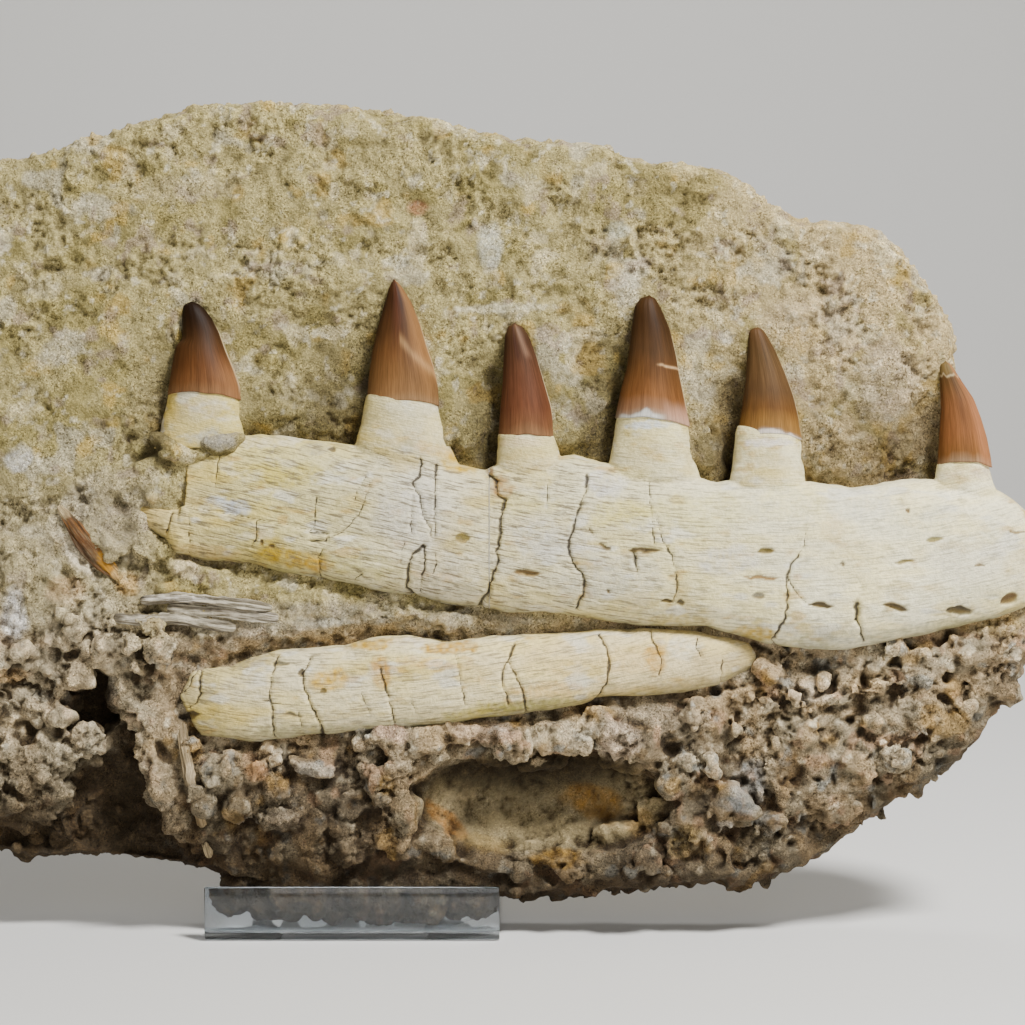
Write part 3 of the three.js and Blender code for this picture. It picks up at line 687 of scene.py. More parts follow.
def rubbleTree(material):
    tree, given = startTree("cementedRubble", rubble)
    share = addNode(tree, "GeometryNodeInputNamedAttribute", {"Name": "nodules"})[0]
    lumps = tree.nodes.new("GeometryNodeJoinGeometry")
    for n, (subdivisions, rough) in enumerate([(3, 0.45), (3, 0.75), (1, 0.5), (2, 0.8)]):
        grain = addNode(tree, "GeometryNodeMeshIcoSphere", {"Radius": 1.0, "Subdivisions": subdivisions})[0]
        place = addNode(tree, "GeometryNodeInputPosition")[0]
        shift = (7.1 * n, 3.3 * n, 0)  # each lump takes its shape from another part of the noise
        shifted = addNode(tree, "ShaderNodeVectorMath", {0: place, 1: shift}, operation="ADD")[0]
        swell = addNode(tree, "ShaderNodeTexNoise", {"Vector": shifted, "Scale": 1.3, "Detail": 1.0})[0]
        lift = addNode(tree, "ShaderNodeMapRange", {0: swell, 3: -rough, 4: rough})[0]
        push = addNode(tree, "ShaderNodeVectorMath", {0: place, "Scale": lift}, operation="SCALE")[0]
        moved = addNode(tree, "GeometryNodeSetPosition", {"Geometry": grain, "Offset": push})[0]
        lump = addNode(tree, "GeometryNodeGeometryToInstance", {0: moved})[0]
        tree.links.new(lump, lumps.inputs[0])
    together = tree.nodes.new("GeometryNodeJoinGeometry")
    tree.links.new(given["Geometry"], together.inputs[0])
    for n, kind in enumerate(["Pebble", "Grit"]):
        seed = addNode(tree, **added, inputs={0: given["Rubble Seed"], 1: 7.0 * n})[0]
        spread = addNode(
            tree,
            "GeometryNodeDistributePointsOnFaces",
            {
                "Mesh": given["Geometry"],
                "Distance Min": given[kind + " Spacing"],
                "Density Max": 0.4,
                "Density Factor": share,
                "Seed": seed,
            },
            distribute_method="POISSON",
        )
        draw = addNode(tree, "FunctionNodeRandomValue", {"Seed": 11 + n}, data_type="FLOAT")[1]
        small = addNode(tree, "ShaderNodeMath", {0: draw, 1: 1.7}, operation="POWER")[0]
        radius = addNode(
            tree, "ShaderNodeMapRange", {0: small, 3: given["Smallest " + kind], 4: given["Largest " + kind]}
        )[0]
        stretch = addNode(
            tree,
            "FunctionNodeRandomValue",
            {0: (0.75, 0.75, 0.65), 1: (1.3, 1.25, 1.1), "Seed": 21 + n},
            data_type="FLOAT_VECTOR",
        )[0]
        size = addNode(tree, "ShaderNodeVectorMath", {0: stretch, "Scale": radius}, operation="SCALE")[0]
        turn = addNode(
            tree,
            "FunctionNodeRandomValue",
            {0: (0, 0, 0), 1: (6.28, 6.28, 6.28), "Seed": 31 + n},
            data_type="FLOAT_VECTOR",
        )[0]
        placed = addNode(
            tree,
            "GeometryNodeInstanceOnPoints",
            {
                "Points": spread[0],
                "Instance": lumps.outputs[0],
                "Pick Instance": True,
                "Rotation": turn,
                "Scale": size,
            },
        )[0]
        tree.links.new(placed, together.inputs[0])
    endTree(tree, together.outputs[0], material)
    return tree


def noduleShare(x, z):  # where the rubble carries nodules, from 0 to 1
    share = ease((118 - z) / 16) * mixed(1.0, 0.35, ease((x - 108) / 20))
    share = share * ease((inMould(x, z) - 0.98) / 0.15)
    for bone in (dentary, lowerBone):
        share = share * ease((edgeDistance(x, z, bone) - 1.5) / 3)
    ledge = ease((z - 58) / 6) * ease((x - 6) / 8) * ease((112 - x) / 8)  # of angular stones, nearly bare
    share = share * mixed(1.0, 0.12, ledge)
    hole = np.hypot((x - deepHole["x"]) / 10, (z - deepHole["z"]) / 12)
    share = share * ease((hole - 0.8) / 0.3)
    share = share * ease(0.8 + 1.6 * noise(x / 14, 21, z / 14))
    inEasel = (np.abs(x) < 56) & (z < 27)
    band = (z > 104) & (x > -62) & (x < 140)  # the grit between the two bones
    left = 0.2 * ease((-64 - x) / 10) * ease((165 - z) / 30) * (z > 112)
    return np.where(inEasel, 0, np.where(band, share * 0.2, np.maximum(share, left)))


brokenFace = {
    "Sand Lumps": 2.4,
    "Sand Knots": 1.0,
    "Sand Grain": 0.8,
    "Rubble Lumps": 1.8,
    "Rubble Knots": 1.0,
    "Rubble Grain": 0.85,
    "Pit Depth": 3.2,
    "Edge Chips": 1.0,
}


def skinTree(material):
    tree, given = startTree("brokenFace", brokenFace)
    place = addNode(tree, "GeometryNodeInputPosition")[0]
    normal = addNode(tree, "GeometryNodeInputNormal")[0]
    rubbly, pitted, rim, roughness = [
        addNode(tree, "GeometryNodeInputNamedAttribute", {"Name": name})[0]
        for name in ("rubble", "pitted", "rim", "roughness")
    ]

    def lumps(size, detail=1.0, roughness=0.5):  # noise of a size in millimetres, from -1 to 1
        field = addNode(
            tree,
            "ShaderNodeTexNoise",
            {"Vector": place, "Scale": 1 / size, "Detail": detail, "Roughness": roughness},
        )[0]
        return addNode(tree, "ShaderNodeMapRange", {0: field, 1: 0.2, 2: 0.8, 3: -1.0, 4: 1.0})[0]

    uneven = addNode(tree, "ShaderNodeMapRange", {0: lumps(17.0), 1: -0.4, 2: 0.45, 3: 0.25, 4: 1.5})[0]

    def layered(kind, broad, middle, fine):  # the small relief comes and goes in patches
        knots = addNode(tree, **multiplied, inputs={0: middle, 1: given[kind + " Knots"]})[0]
        grain = addNode(tree, **multiplied, inputs={0: fine, 1: given[kind + " Grain"]})[0]
        small = addNode(tree, **added, inputs={0: knots, 1: grain})[0]
        large = addNode(tree, **multiplied, inputs={0: broad, 1: given[kind + " Lumps"]})[0]
        patchy = addNode(tree, **multiplied, inputs={0: small, 1: uneven})[0]
        return addNode(tree, **added, inputs={0: large, 1: patchy})[0]

    pits = addNode(tree, "ShaderNodeMapRange", {0: lumps(6.5), 1: 0.32, 2: 0.8, 3: 0.0, 4: -1.0})[0]
    chips = addNode(
        tree, "ShaderNodeTexVoronoi", {"Vector": place, "Scale": 1 / 6.5, "Detail": 1.0}, feature="F1"
    )[0]
    chipLift = addNode(
        tree,
        "ShaderNodeMapRange",
        {0: chips, 1: 0.05, 2: 0.85, 3: 0.7, 4: -1.0},
        interpolation_type="SMOOTHSTEP",
    )[0]
    middle, fine = lumps(4.2), lumps(1.9, 2.0, 0.7)
    sand = layered("Sand", lumps(13.0, 2.0), middle, fine)
    rough = layered("Rubble", lumps(9.0), middle, fine)
    lift = addNode(tree, "ShaderNodeMix", {0: rubbly, 2: sand, 3: rough}, data_type="FLOAT")[0]
    for relief, size, where in ((pits, "Pit Depth", pitted), (chipLift, "Edge Chips", rim)):
        sized = addNode(tree, **multiplied, inputs={0: relief, 1: given[size]})[0]
        placed = addNode(tree, **multiplied, inputs={0: sized, 1: where})[0]
        lift = addNode(tree, **added, inputs={0: lift, 1: placed})[0]
    lift = addNode(tree, **multiplied, inputs={0: lift, 1: roughness})[0]
    push = addNode(tree, "ShaderNodeVectorMath", {0: normal, "Scale": lift}, operation="SCALE")[0]
    moved = addNode(
        tree, "GeometryNodeSetPosition", {"Geometry": given["Geometry"], "Offset": push}
    )[0]
    worn = addNode(tree, **blurred, inputs={"Value": place, "Iterations": 5})[0]
    lowRim = addNode(tree, **multiplied, inputs={0: rim, 1: rubbly})[0]  # where the lumps are rubbed down
    worn = addNode(tree, "ShaderNodeMix", {0: lowRim, 4: place, 5: worn}, data_type="VECTOR")[1]
    moved = addNode(tree, "GeometryNodeSetPosition", {"Geometry": moved, "Position": worn})[0]
    for name, passes in (("cavity", 16), ("hollow", 110)):  # how far each place lies below its surroundings
        softened = addNode(tree, **blurred, inputs={"Value": place, "Iterations": passes})[0]
        gap = addNode(tree, "ShaderNodeVectorMath", {0: softened, 1: place}, operation="SUBTRACT")[0]
        below = addNode(tree, "ShaderNodeVectorMath", {0: gap, 1: normal}, operation="DOT_PRODUCT")["Value"]
        moved = addNode(
            tree, "GeometryNodeStoreNamedAttribute", {"Geometry": moved, "Name": name, "Value": below}
        )[0]
    endTree(tree, moved, material)
    return tree


def storeRockFields(mesh):
    points = pointsOf(mesh)
    x, y, z = points.T
    front = ease((5 - y) / 6)
    inside = insideEdge(x, z)
    rubbly = ease((122 - z) / 20) * front
    rubbly = np.maximum(rubbly, 0.25 * ease((-64 - x) / 12) * ease((175 - z) / 40) * front)
    leftEnd = ease((-36 - x) / 14) * ease((x + 100) / 16) * ease((178 - z) / 6)
    rubbly = np.maximum(rubbly, 0.8 * leftEnd * front)
    grit = (z > 100) & (x > -60) & (x < 142)
    rubbly = np.where(grit, np.minimum(rubbly, 0.5), rubbly)
    calm = np.ones(len(x))
    inTheMould = ease((0.8 - inMould(x, z) - 0.2 * ease((x - 84) / 8)) / 0.2)
    calm = np.where(y < 0, mixed(1.0, 0.45, inTheMould), calm)
    for bone in (dentary, lowerBone):
        nearBone = ease((4 - edgeDistance(x, z, bone)) / 5) * ease((x + 56) / 6)
        calm = np.where(y < 0, calm * mixed(1.0, 0.65, nearBone), calm)
    for tooth in teeth:
        reach = np.hypot((x - tooth["x"]) / (tooth["width"] * 0.75), (z - tooth["z"] - 8) / 38)
        calm = np.where(y < -8, calm * mixed(0.45, 1.0, ease((reach - 0.6) / 0.5)), calm)
    atFoot = ease((34 - z) / 10) * (np.abs(x) < 60)
    calm = calm * mixed(1.0, 0.75, atFoot)
    calm = calm * mixed(0.95, 1.0, ease((2 - y) / 6))
    storeField(mesh, "rubble", rubbly)
    storeField(mesh, "pitted", ease((x - 112) / 20) * ease((116 - z) / 12) * ease((inside - 5) / 6) * front)
    storeField(mesh, "rim", ease((9 - inside) / 7) * front * (1 - atFoot))
    storeField(mesh, "roughness", calm)


def clearOfEasel(points):  # the rock rests on the easel and never passes into it
    x, y, z = points.T
    beside, above = rockRoom["beside"], rockRoom["above"]
    behind = (np.abs(x) < easel["tongueHalf"] + beside) & (z < easel["tongueTop"] + above)
    y = np.where(behind, np.minimum(y, tongueFace(z) - rockRoom["touch"]), y)
    lipSide = (np.abs(x) < easel["width"] / 2 + beside) & (z < easel["lipHeight"] + above)
    lipBack = easel["lipFront"] + easel["sheet"] + rockRoom["behindLip"]
    y = np.where(lipSide, np.maximum(y, lipBack), y)
    z = np.maximum(z, floorHeight(y) - rockRoom["touch"])
    return np.stack([x, y, z], 1)


rockSpots = [
    # x, z, half-length, half-height, turn, colour, strength
    (22.8, 241, 3.5, 10, 0, "#cfc4a4", 0.8), (22.8, 254, 4, 3, 0, "#8d5a48", 0.7),
    (48, 240, 5, 9, 0, "#c6c5b6", 0.75), (52, 219, 19, 1.8, 2, "#cfc8ae", 0.8),
    (95, 226, 5.5, 8, 20, "#c9c3b0", 0.65), (129, 209, 3, 3, 0, "#d6cfbd", 0.7),
    (16, 235, 5, 2.5, 0, "#c4c0ae", 0.6), (-87, 231, 4, 3, 0, "#c9c2b0", 0.6),
    (-106, 226, 8, 4, 0, "#b7ae92", 0.6), (-117, 113, 5, 9, 0, "#dad7d2", 0.85),
    (-115, 167, 6, 5, 0, "#d9d6d0", 0.8), (-100, 205, 10, 5, 30, "#c6c0af", 0.5),
    (-60, 260, 22, 5, 4, "#c4b795", 0.5), (85, 238, 9, 8, 0, "#8f8460", 0.55),
    (92, 246, 5, 3, 0, "#b9bdb0", 0.5), (160, 212, 18, 12, 0, "#bfae93", 0.5),
    # the darker olive and brown spots low between the teeth, and left of the first tooth, are painted shade
    # in the valleys
    (185, 195, 12, 16, 0, "#c6b8a4", 0.5), (-20, 184, 14, 9, 0, "#8a8060", 0.55),
    (41, 172, 7, 14, 0, "#79704e", 0.6), (82, 168, 7, 14, 0, "#7b7150", 0.6),
    (124, 166, 7, 14, 0, "#7c7254", 0.6), (-70, 182, 9, 12, 0, "#8a7f60", 0.5),
    (-66, 200, 8, 14, 0, "#8b8163", 0.4), (-46, 174.5, 8, 5, 0, "#bdb9ad", 0.9),
    (200, 178, 8, 14, 0, "#a89a7c", 0.5), (176, 158, 8, 5, 0, "#6b5c40", 0.4),
    # the gritty left of the jaw
    (-80, 150, 16, 14, 0, "#948b78", 0.6), (-96, 150, 6, 16, -35, "#c3baa6", 0.6),
    (-57, 130, 6, 5, 0, "#cdbfa2", 0.85), (-98, 122, 8, 6, 0, "#c9a883", 0.5),
    # the three dark lines, #3b3226, are painted shadow in the gaps between the flat splinters
    (-60, 113.4, 20, 0.9, -3, "#3b3226", 0.8), (-66, 116.6, 12, 0.8, 0, "#3b3226", 0.8),
    (-46, 116.2, 16, 0.8, -6, "#3b3226", 0.7), (-78, 124, 6, 4, -40, "#c4a06a", 0.6),
    (-95, 134.5, 9, 3, -46, "#d3cabb", 0.7),
    (-90, 117, 12, 4, 0, "#cdc3a6", 0.5), (-97, 136, 4, 12, 40, "#cbbfa6", 0.5),
    # the grit between the bones
    (20, 112, 60, 5, -3, "#8d8676", 0.6), (-20, 108, 40, 4, 0, "#a5a195", 0.5),
    (0, 107, 26, 3, 4, "#a98e62", 0.5),
    # the oval mould and its rim
    # the dark band across the mould's upper part, #4f4838, is painted shadow under its ledge
    (62, 47, 42, 16, 0, "#857b64", 0.6), (62, 57, 36, 7, 0, "#4f4838", 0.6),
    (32, 41, 11, 3, -40, "#a06f3a", 0.65), (70, 28, 10, 3.4, 0, "#b08a45", 0.65),
    (84, 47, 11, 6, -12, "#9c7238", 0.65), (60, 38, 22, 6, 0, "#9c8e6e", 0.5),
    (99, 40, 6, 5, 0, "#8a6a3c", 0.5), (46, 33, 10, 3, -12, "#a58d5e", 0.5),
    # right of it
    (137, 53, 7, 10, -15, "#8f9394", 0.6), (129, 40, 4, 3, 0, "#d9d4c8", 0.8),
    (131, 48, 6, 3, 0, "#7d8383", 0.4), (152, 59, 6, 8, 0, "#6a5232", 0.6),
    (116, 34, 7, 7, 0, "#b09a63", 0.4), (160, 87, 9, 4, 0, "#cabda9", 0.6),
    (170, 104, 5, 3, 0, "#a8834f", 0.5), (178, 91, 10, 3, 5, "#c7b391", 0.5),
    (107, 80, 18, 5, -10, "#b3a791", 0.4), (92, 70, 8, 8, 0, "#c3b2a0", 0.5),
    (-72, 96, 6, 5, 0, "#77684f", 0.4), (-118, 92, 6, 3, 0, "#b58f5f", 0.5),
    (13, 74, 8, 4, -25, "#c3a994", 0.8), (4, 75, 4, 5, 0, "#a9aba2", 0.7),
    (-33, 59, 4, 4, 0, "#b58c68", 0.6), (-13, 60, 8, 3, -8, "#bdb4a5", 0.7),
    (66, 72, 7, 4, 0, "#cfc4a8", 0.6), (78, 74, 7, 6, -30, "#cdc1a8", 0.6),
    (46, 73, 12, 4, 0, "#b09a88", 0.5), (-63, 50, 6, 20, 10, "#b9a88c", 0.5),
    (-24, 42, 8, 4, 0, "#b3a795", 0.5),
]


rockTones = {
    "sand": "#a1966f", "sandWarm": "#b8a583", "nodule": "#8b816d", "noduleWarm": "#9c8a6f",
    "noduleDark": "#64594a", "left": "#a69c86", "rim": "#b9a98a", "mouldFloor": "#8a7d60",
}
# Patches in the sand, then in the rubble: size in mm, how rare, colour, strength
sandPatches = [
    (15, 0.12, "#7f754c", 0.6), (11, 0.26, "#b5af9b", 0.6), (10, 0.22, "#b1975c", 0.55),
    (7, 0.24, "#cdc2a2", 0.55), (6, 0.28, "#8f8072", 0.6), (4, 0.28, "#6d6341", 0.5),
    (3, 0.3, "#d6cfb6", 0.5),
]
nodulePatches = [
    (9, 0.2, "#b3a58c", 0.6), (7, 0.22, "#a1866d", 0.6), (6, 0.26, "#878a86", 0.6),
    (5, 0.24, "#5f4e36", 0.6), (4, 0.28, "#c9bfa8", 0.65), (11, 0.3, "#9a7b46", 0.45),
]
# Painted shade in the low places and on the underside, with some soil in the lower rubble: the largest share
# of the rock's colour that each kind takes away
paintedShading = {
    "sunk": 0.75, "slopeLeft": 0.8, "slopeRight": 0.6, "foot": 0.65, "hole": 0.95, "undercut": 0.97,
    "roof": 0.93, "lowLeft": 0.62, "valley": 0.62, "between": 0.5, "cavity": 0.92, "hollow": 0.86,
    "valleyDepth": 5, "cavityDepth": 0.75, "hollowDepth": 2.1,  # mm at which it is at its most
    "tint": (0.12, 0.1, 0.08), "ridgeHeight": 0.9, "ridgeLight": 1.65,  # and the painted highlight on the raised ridges
}


def paintRock(mesh):
    points = pointsOf(mesh)
    x, y, z = points.T
    tone = {name: linear(shade) for name, shade in rockTones.items()}

    def patched(colour, patches, start):
        for n, (size, rare, shade, strength) in enumerate(patches):
            field = fractal(x / size + start + 31 * n, y / size, z / size + 17 * n)
            mask = strength * ease((field - rare) / 0.2)
            colour = mixed(colour, linear(shade), mask[:, None])
        return colour

    sand = mixed(tone["sand"], tone["sandWarm"], (ease((x - 60) / 130) * 0.75)[:, None])
    sand = patched(sand, sandPatches, 3)
    warm = ease(0.5 + 1.4 * fractal(x / 8 + 40, y / 8, z / 8, 2))
    nodules = mixed(tone["nodule"], tone["noduleWarm"], warm[:, None])
    dull = ease(0.35 - 1.5 * fractal(x / 26, y / 26, z / 26))
    nodules = mixed(nodules, tone["noduleDark"], 0.7 * dull[:, None])
    nodules = patched(nodules, nodulePatches, 60)
    border = 7 * fractal(x / 18, 4, z / 9)
    rubbly = ease((122 - z + border) / 20) * (y < 4)
    colour = mixed(sand, nodules, rubbly[:, None])
    left = ease((-58 - x) / 20) * ease((172 - z) / 30) * (y < 4)
    colour = mixed(colour, tone["left"], left[:, None] * 0.5)
    toMould = inMould(x, z)
    mouldFloor = ease((1.0 - toMould) / 0.15) * (y > -20) * (y < 0)
    colour = mixed(colour, tone["mouldFloor"], mouldFloor[:, None] * 0.8)
    painted = colour.copy()
    paintSpots(points, painted, rockSpots)
    colour = np.where((y < 2)[:, None], painted, colour)
    cavity, hollow = fieldOf(mesh, "cavity"), fieldOf(mesh, "hollow")
    lowFace = ease((96 - z) / 16) * (y < 10)
    # painted shade on the low face where it sinks far back
    sunk = ease((y + 17.5) / 9) * lowFace * ease((175 - x) / 40) * (1 - mouldFloor)
    # painted shade with some soil: the lower rubble darker, most of all to the left
    darkening = ease((78 - z) / 45) * ease((190 - x) / 60) * (y < 10) * (1 - 0.75 * mouldFloor)
    # painted shade along the lower edge of the face
    foot = ease((22 - insideEdge(x, z)) / 20) * ease((100 - z) / 30)
    # painted shade inside the deep hole
    toHole = np.hypot((x - deepHole["x"]) / 11, (z - deepHole["z"]) / 13.5)
    hole = ease((1.1 - toHole) / 0.5) * (y > -21) * (y < 10)
    # painted shade in the undercut at the lower left
    toUndercut = np.hypot((x + 86) / 28, (z - 44 - 0.35 * (x + 86)) / 26)
    undercut = ease((1.15 - toUndercut) / 0.5) * ease((y + 16) / 6)
    # painted shade on the lower left, which turns down away from the light
    lowLeft = ease((-92 - x) / 16) * ease((72 - z) / 30) * (y < 10)
    # painted shadow at the top of the oval mould, under its ledge of stones
    roof = mouldFloor * ease((z - 44 - 0.1 * np.abs(x - 60)) / 15)
    # painted shade in the valleys between the teeth, most just left of each tooth, and on the sand low
    # between them
    valley = valleyDepth(x, z) * (y < 0)
    between = ease((205 - z) / 40) * ease((x + 84) / 20) * ease((205 - x) / 15) * (y < 0)
    between = between * ease((z - 150 - 20 * ease((-42 - x) / 12)) / 5)
    taken = [
        paintedShading["sunk"] * sunk,
        darkening * mixed(paintedShading["slopeRight"], paintedShading["slopeLeft"], ease((14 - x) / 16)),
        paintedShading["foot"] * foot,
        paintedShading["hole"] * hole,
        paintedShading["undercut"] * undercut * (y < 10),
        paintedShading["roof"] * roof,
        paintedShading["lowLeft"] * lowLeft,
        paintedShading["valley"] * ease(valley / paintedShading["valleyDepth"]),
        paintedShading["between"] * between,
        # painted shade in the crevices and hollows
        paintedShading["cavity"] * ease(cavity / paintedShading["cavityDepth"]) * mixed(0.6, 1.0, rubbly),
        paintedShading["hollow"] * ease(hollow / paintedShading["hollowDepth"]) * mixed(0.45, 1.0, rubbly),
    ]
    kept = np.prod([1 - share for share in taken], 0)
    colour = mixed(colour * np.array(paintedShading["tint"]), colour, kept[:, None])
    # painted highlight: the raised ridges lighter
    raised = ease(-cavity / paintedShading["ridgeHeight"]) * mixed(0.6, 1.0, rubbly)
    colour = mixed(colour, colour * paintedShading["ridgeLight"], raised[:, None])
    # painted highlight along the top rim
    rim = ease((5 - insideEdge(x, z)) / 5) * ease((z - 120) / 30)
    colour = mixed(colour, tone["rim"], rim[:, None] * 0.45)
    storePaint(mesh, colour, richness=1.2)
    storeField(mesh, "grit", 1 - 0.4 * mouldFloor)


# Phosphate sand rock, broken and scrubbed: dull, with pale and dark grains half a millimetre across,
# which are drawn a little coarser than real so that they show.
rockMaterial, rockNodes, rockShader = newMaterial(
    "brokenPhosphateSandRock", Roughness=0.93, IOR=1.5, Specular_IOR_Level=0.25
)


# Grains: size in metres, the noise's detail, the band of it that they take, strength
sandGrains = {
    "patch": (0.011, 2.0, 0.36, 0.6, 1.0),
    "dark": (0.0008, 2.0, 0.47, 0.4, 0.95),
    "pale": (0.0007, 2.0, 0.54, 0.61, 0.95),
    "black": (0.0015, 3.0, 0.37, 0.32, 0.8),
    "bump": (0.0013, 4.0, 0.0, 1.0, 1.0),
}
grainTints = {"dark": (0.34, 0.31, 0.26), "pale": (1.8, 1.75, 1.65), "black": (0.16, 0.14, 0.11)}


def speckledRock(tree, shader):
    place = addNode(tree, "ShaderNodeTexCoord")["Object"]
    paint = addNode(tree, "ShaderNodeAttribute", attribute_name="paint")["Color"]
    grit = addNode(tree, "ShaderNodeAttribute", attribute_name="grit")["Fac"]

    def speckles(kind):
        size, detail, low, high, strength = sandGrains[kind]
        inputs = {"Vector": place, "Scale": 1 / size, "Detail": detail, "Roughness": 0.7}
        field = addNode(tree, "ShaderNodeTexNoise", inputs)[0]
        return addNode(tree, "ShaderNodeMapRange", {0: field, 1: low, 2: high, 3: 0.0, 4: strength})[0]

    # the grains show in patches: some of the face is scrubbed smooth, some is all grit
    patch = speckles("patch")
    gritty = addNode(tree, "ShaderNodeMapRange", {0: patch, 3: 0.45, 4: 1.0})[0]
    gritty = addNode(tree, **multiplied, inputs={0: gritty, 1: grit})[0]
    colour = paint
    for kind, tint in grainTints.items():
        share = addNode(tree, **multiplied, inputs={0: speckles(kind), 1: gritty})[0]
        inputs = {0: 1.0, 6: paint, 7: (*tint, 1)}
        grain = addNode(tree, "ShaderNodeMix", inputs, data_type="RGBA", blend_type="MULTIPLY")[2]
        colour = addNode(tree, "ShaderNodeMix", {0: share, 6: colour, 7: grain}, data_type="RGBA")[2]
    tree.links.new(colour, shader.inputs["Base Color"])
    rough = speckles("bump")
    bump = addNode(tree, "ShaderNodeBump", {"Strength": 1.0, "Distance": 0.0014, "Height": rough})[0]
    tree.links.new(bump, shader.inputs["Normal"])


speckledRock(rockNodes, rockShader)

points, faces = joinShells([slabShell(), *boulderShells(), *fragmentShells(), *footShells()])
rockBase = newObject("rockBase", meshFrom("rockBase", points, faces))
basePoints = pointsOf(rockBase.data)
share = noduleShare(basePoints[:, 0], basePoints[:, 2]) * (basePoints[:, 1] < 2)
storeField(rockBase.data, "nodules", share)
runTree(rockBase, rubbleTree(rockMaterial), rubble)
print("rubble cemented on:", len(rockBase.data.polygons), "faces")
remesh(rockBase, slab)
print("rock remeshed:", len(rockBase.data.polygons), "faces")
storeRockFields(rockBase.data)
runTree(rockBase, skinTree(rockMaterial), brokenFace)
movePoints(rockBase.data, clearOfEasel(pointsOf(rockBase.data)))
print("rock broken")

rockCuts = {
    "matrix_far_left": (-400, -124), "matrix_left": (-124, -45), "matrix_middle": (-45, 16),
    "matrix_right": (16, 96), "matrix_far_right": (96, 162), "matrix_tip": (162, 400),
}
backFace = 7  # y of the cut between the front pieces and the back one
seams = [left for left, _ in rockCuts.values()]
cutPlanes = [*[(0, seam) for seam in seams], (1, backFace)]  # axis and place
seamMend = {"onCut": 0.001, "reach": 1.2, "sources": 3}  # mm, mm, and old points for each new one


def nearCuts(points, reach):  # which points lie on or near a cut
    return np.any([np.abs(points[:, axis] - place) < reach for axis, place in cutPlanes], 0)


oldPoints = pointsOf(rockBase.data)
oldFields = {name: fieldOf(rockBase.data, name) for name in ("cavity", "hollow")}
oldNear = np.flatnonzero(nearCuts(oldPoints, seamMend["reach"]))
oldTree = KDTree(len(oldNear))
for n in oldNear:
    oldTree.insert(oldPoints[n], n)
oldTree.balance()


def cutRock(name, low, high):  # the new points round a cut take their fields from the rock's own ones
    piece = cutPiece(rockBase, name, low, high)
    points = pointsOf(piece.data)
    new = np.flatnonzero(nearCuts(points, seamMend["onCut"]))
    found = [oldTree.find_n(points[n], seamMend["sources"]) for n in new]
    weights = np.array([[1 / (distance + 0.01) for _, _, distance in each] for each in found])
    weights /= weights.sum(1, keepdims=True)
    sources = np.array([[index for _, index, _ in each] for each in found])
    for field, values in oldFields.items():
        mended = fieldOf(piece.data, field)
        mended[new] = (values[sources] * weights).sum(1)
        storeField(piece.data, field, mended)
    return piece


rockPieces = []
for name, (left, right) in rockCuts.items():
    piece = cutRock(name, (left, -200, -200), (right, backFace, 500))
    rockPieces.append(piece)
    print(name, len(piece.data.polygons), "faces")
backPiece = cutRock("matrix_back", (-400, backFace, -200), (400, 200, 500))
thin = backPiece.modifiers.new("thin", "DECIMATE")
thin.ratio = slab["backKept"]
bake(backPiece)
print("matrix_back", len(backPiece.data.polygons), "faces")
rockPieces.append(backPiece)
bpy.data.objects.remove(rockBase)
for piece in rockPieces:
    paintRock(piece.data)
    finishPiece(piece, rockMaterial, "sandy_matrix", "matrix_slab")
    piece.data.set_sharp_from_angle(angle=math.radians(slab["sharpAngle"]))
    sharpenCuts(piece.data, seams)
print("rock finished")

boneRelief = {
    "stations": 700, "sides": 170, "voxel": 0.48, "quickVoxel": 1.0, "backCut": -16.5,
    "swell": 0.6, "ripple": 0.2, "striae": 0.17, "edgeWear": 0.5, "rootInside": 3.0,
    "foldStep": 0.9,
}
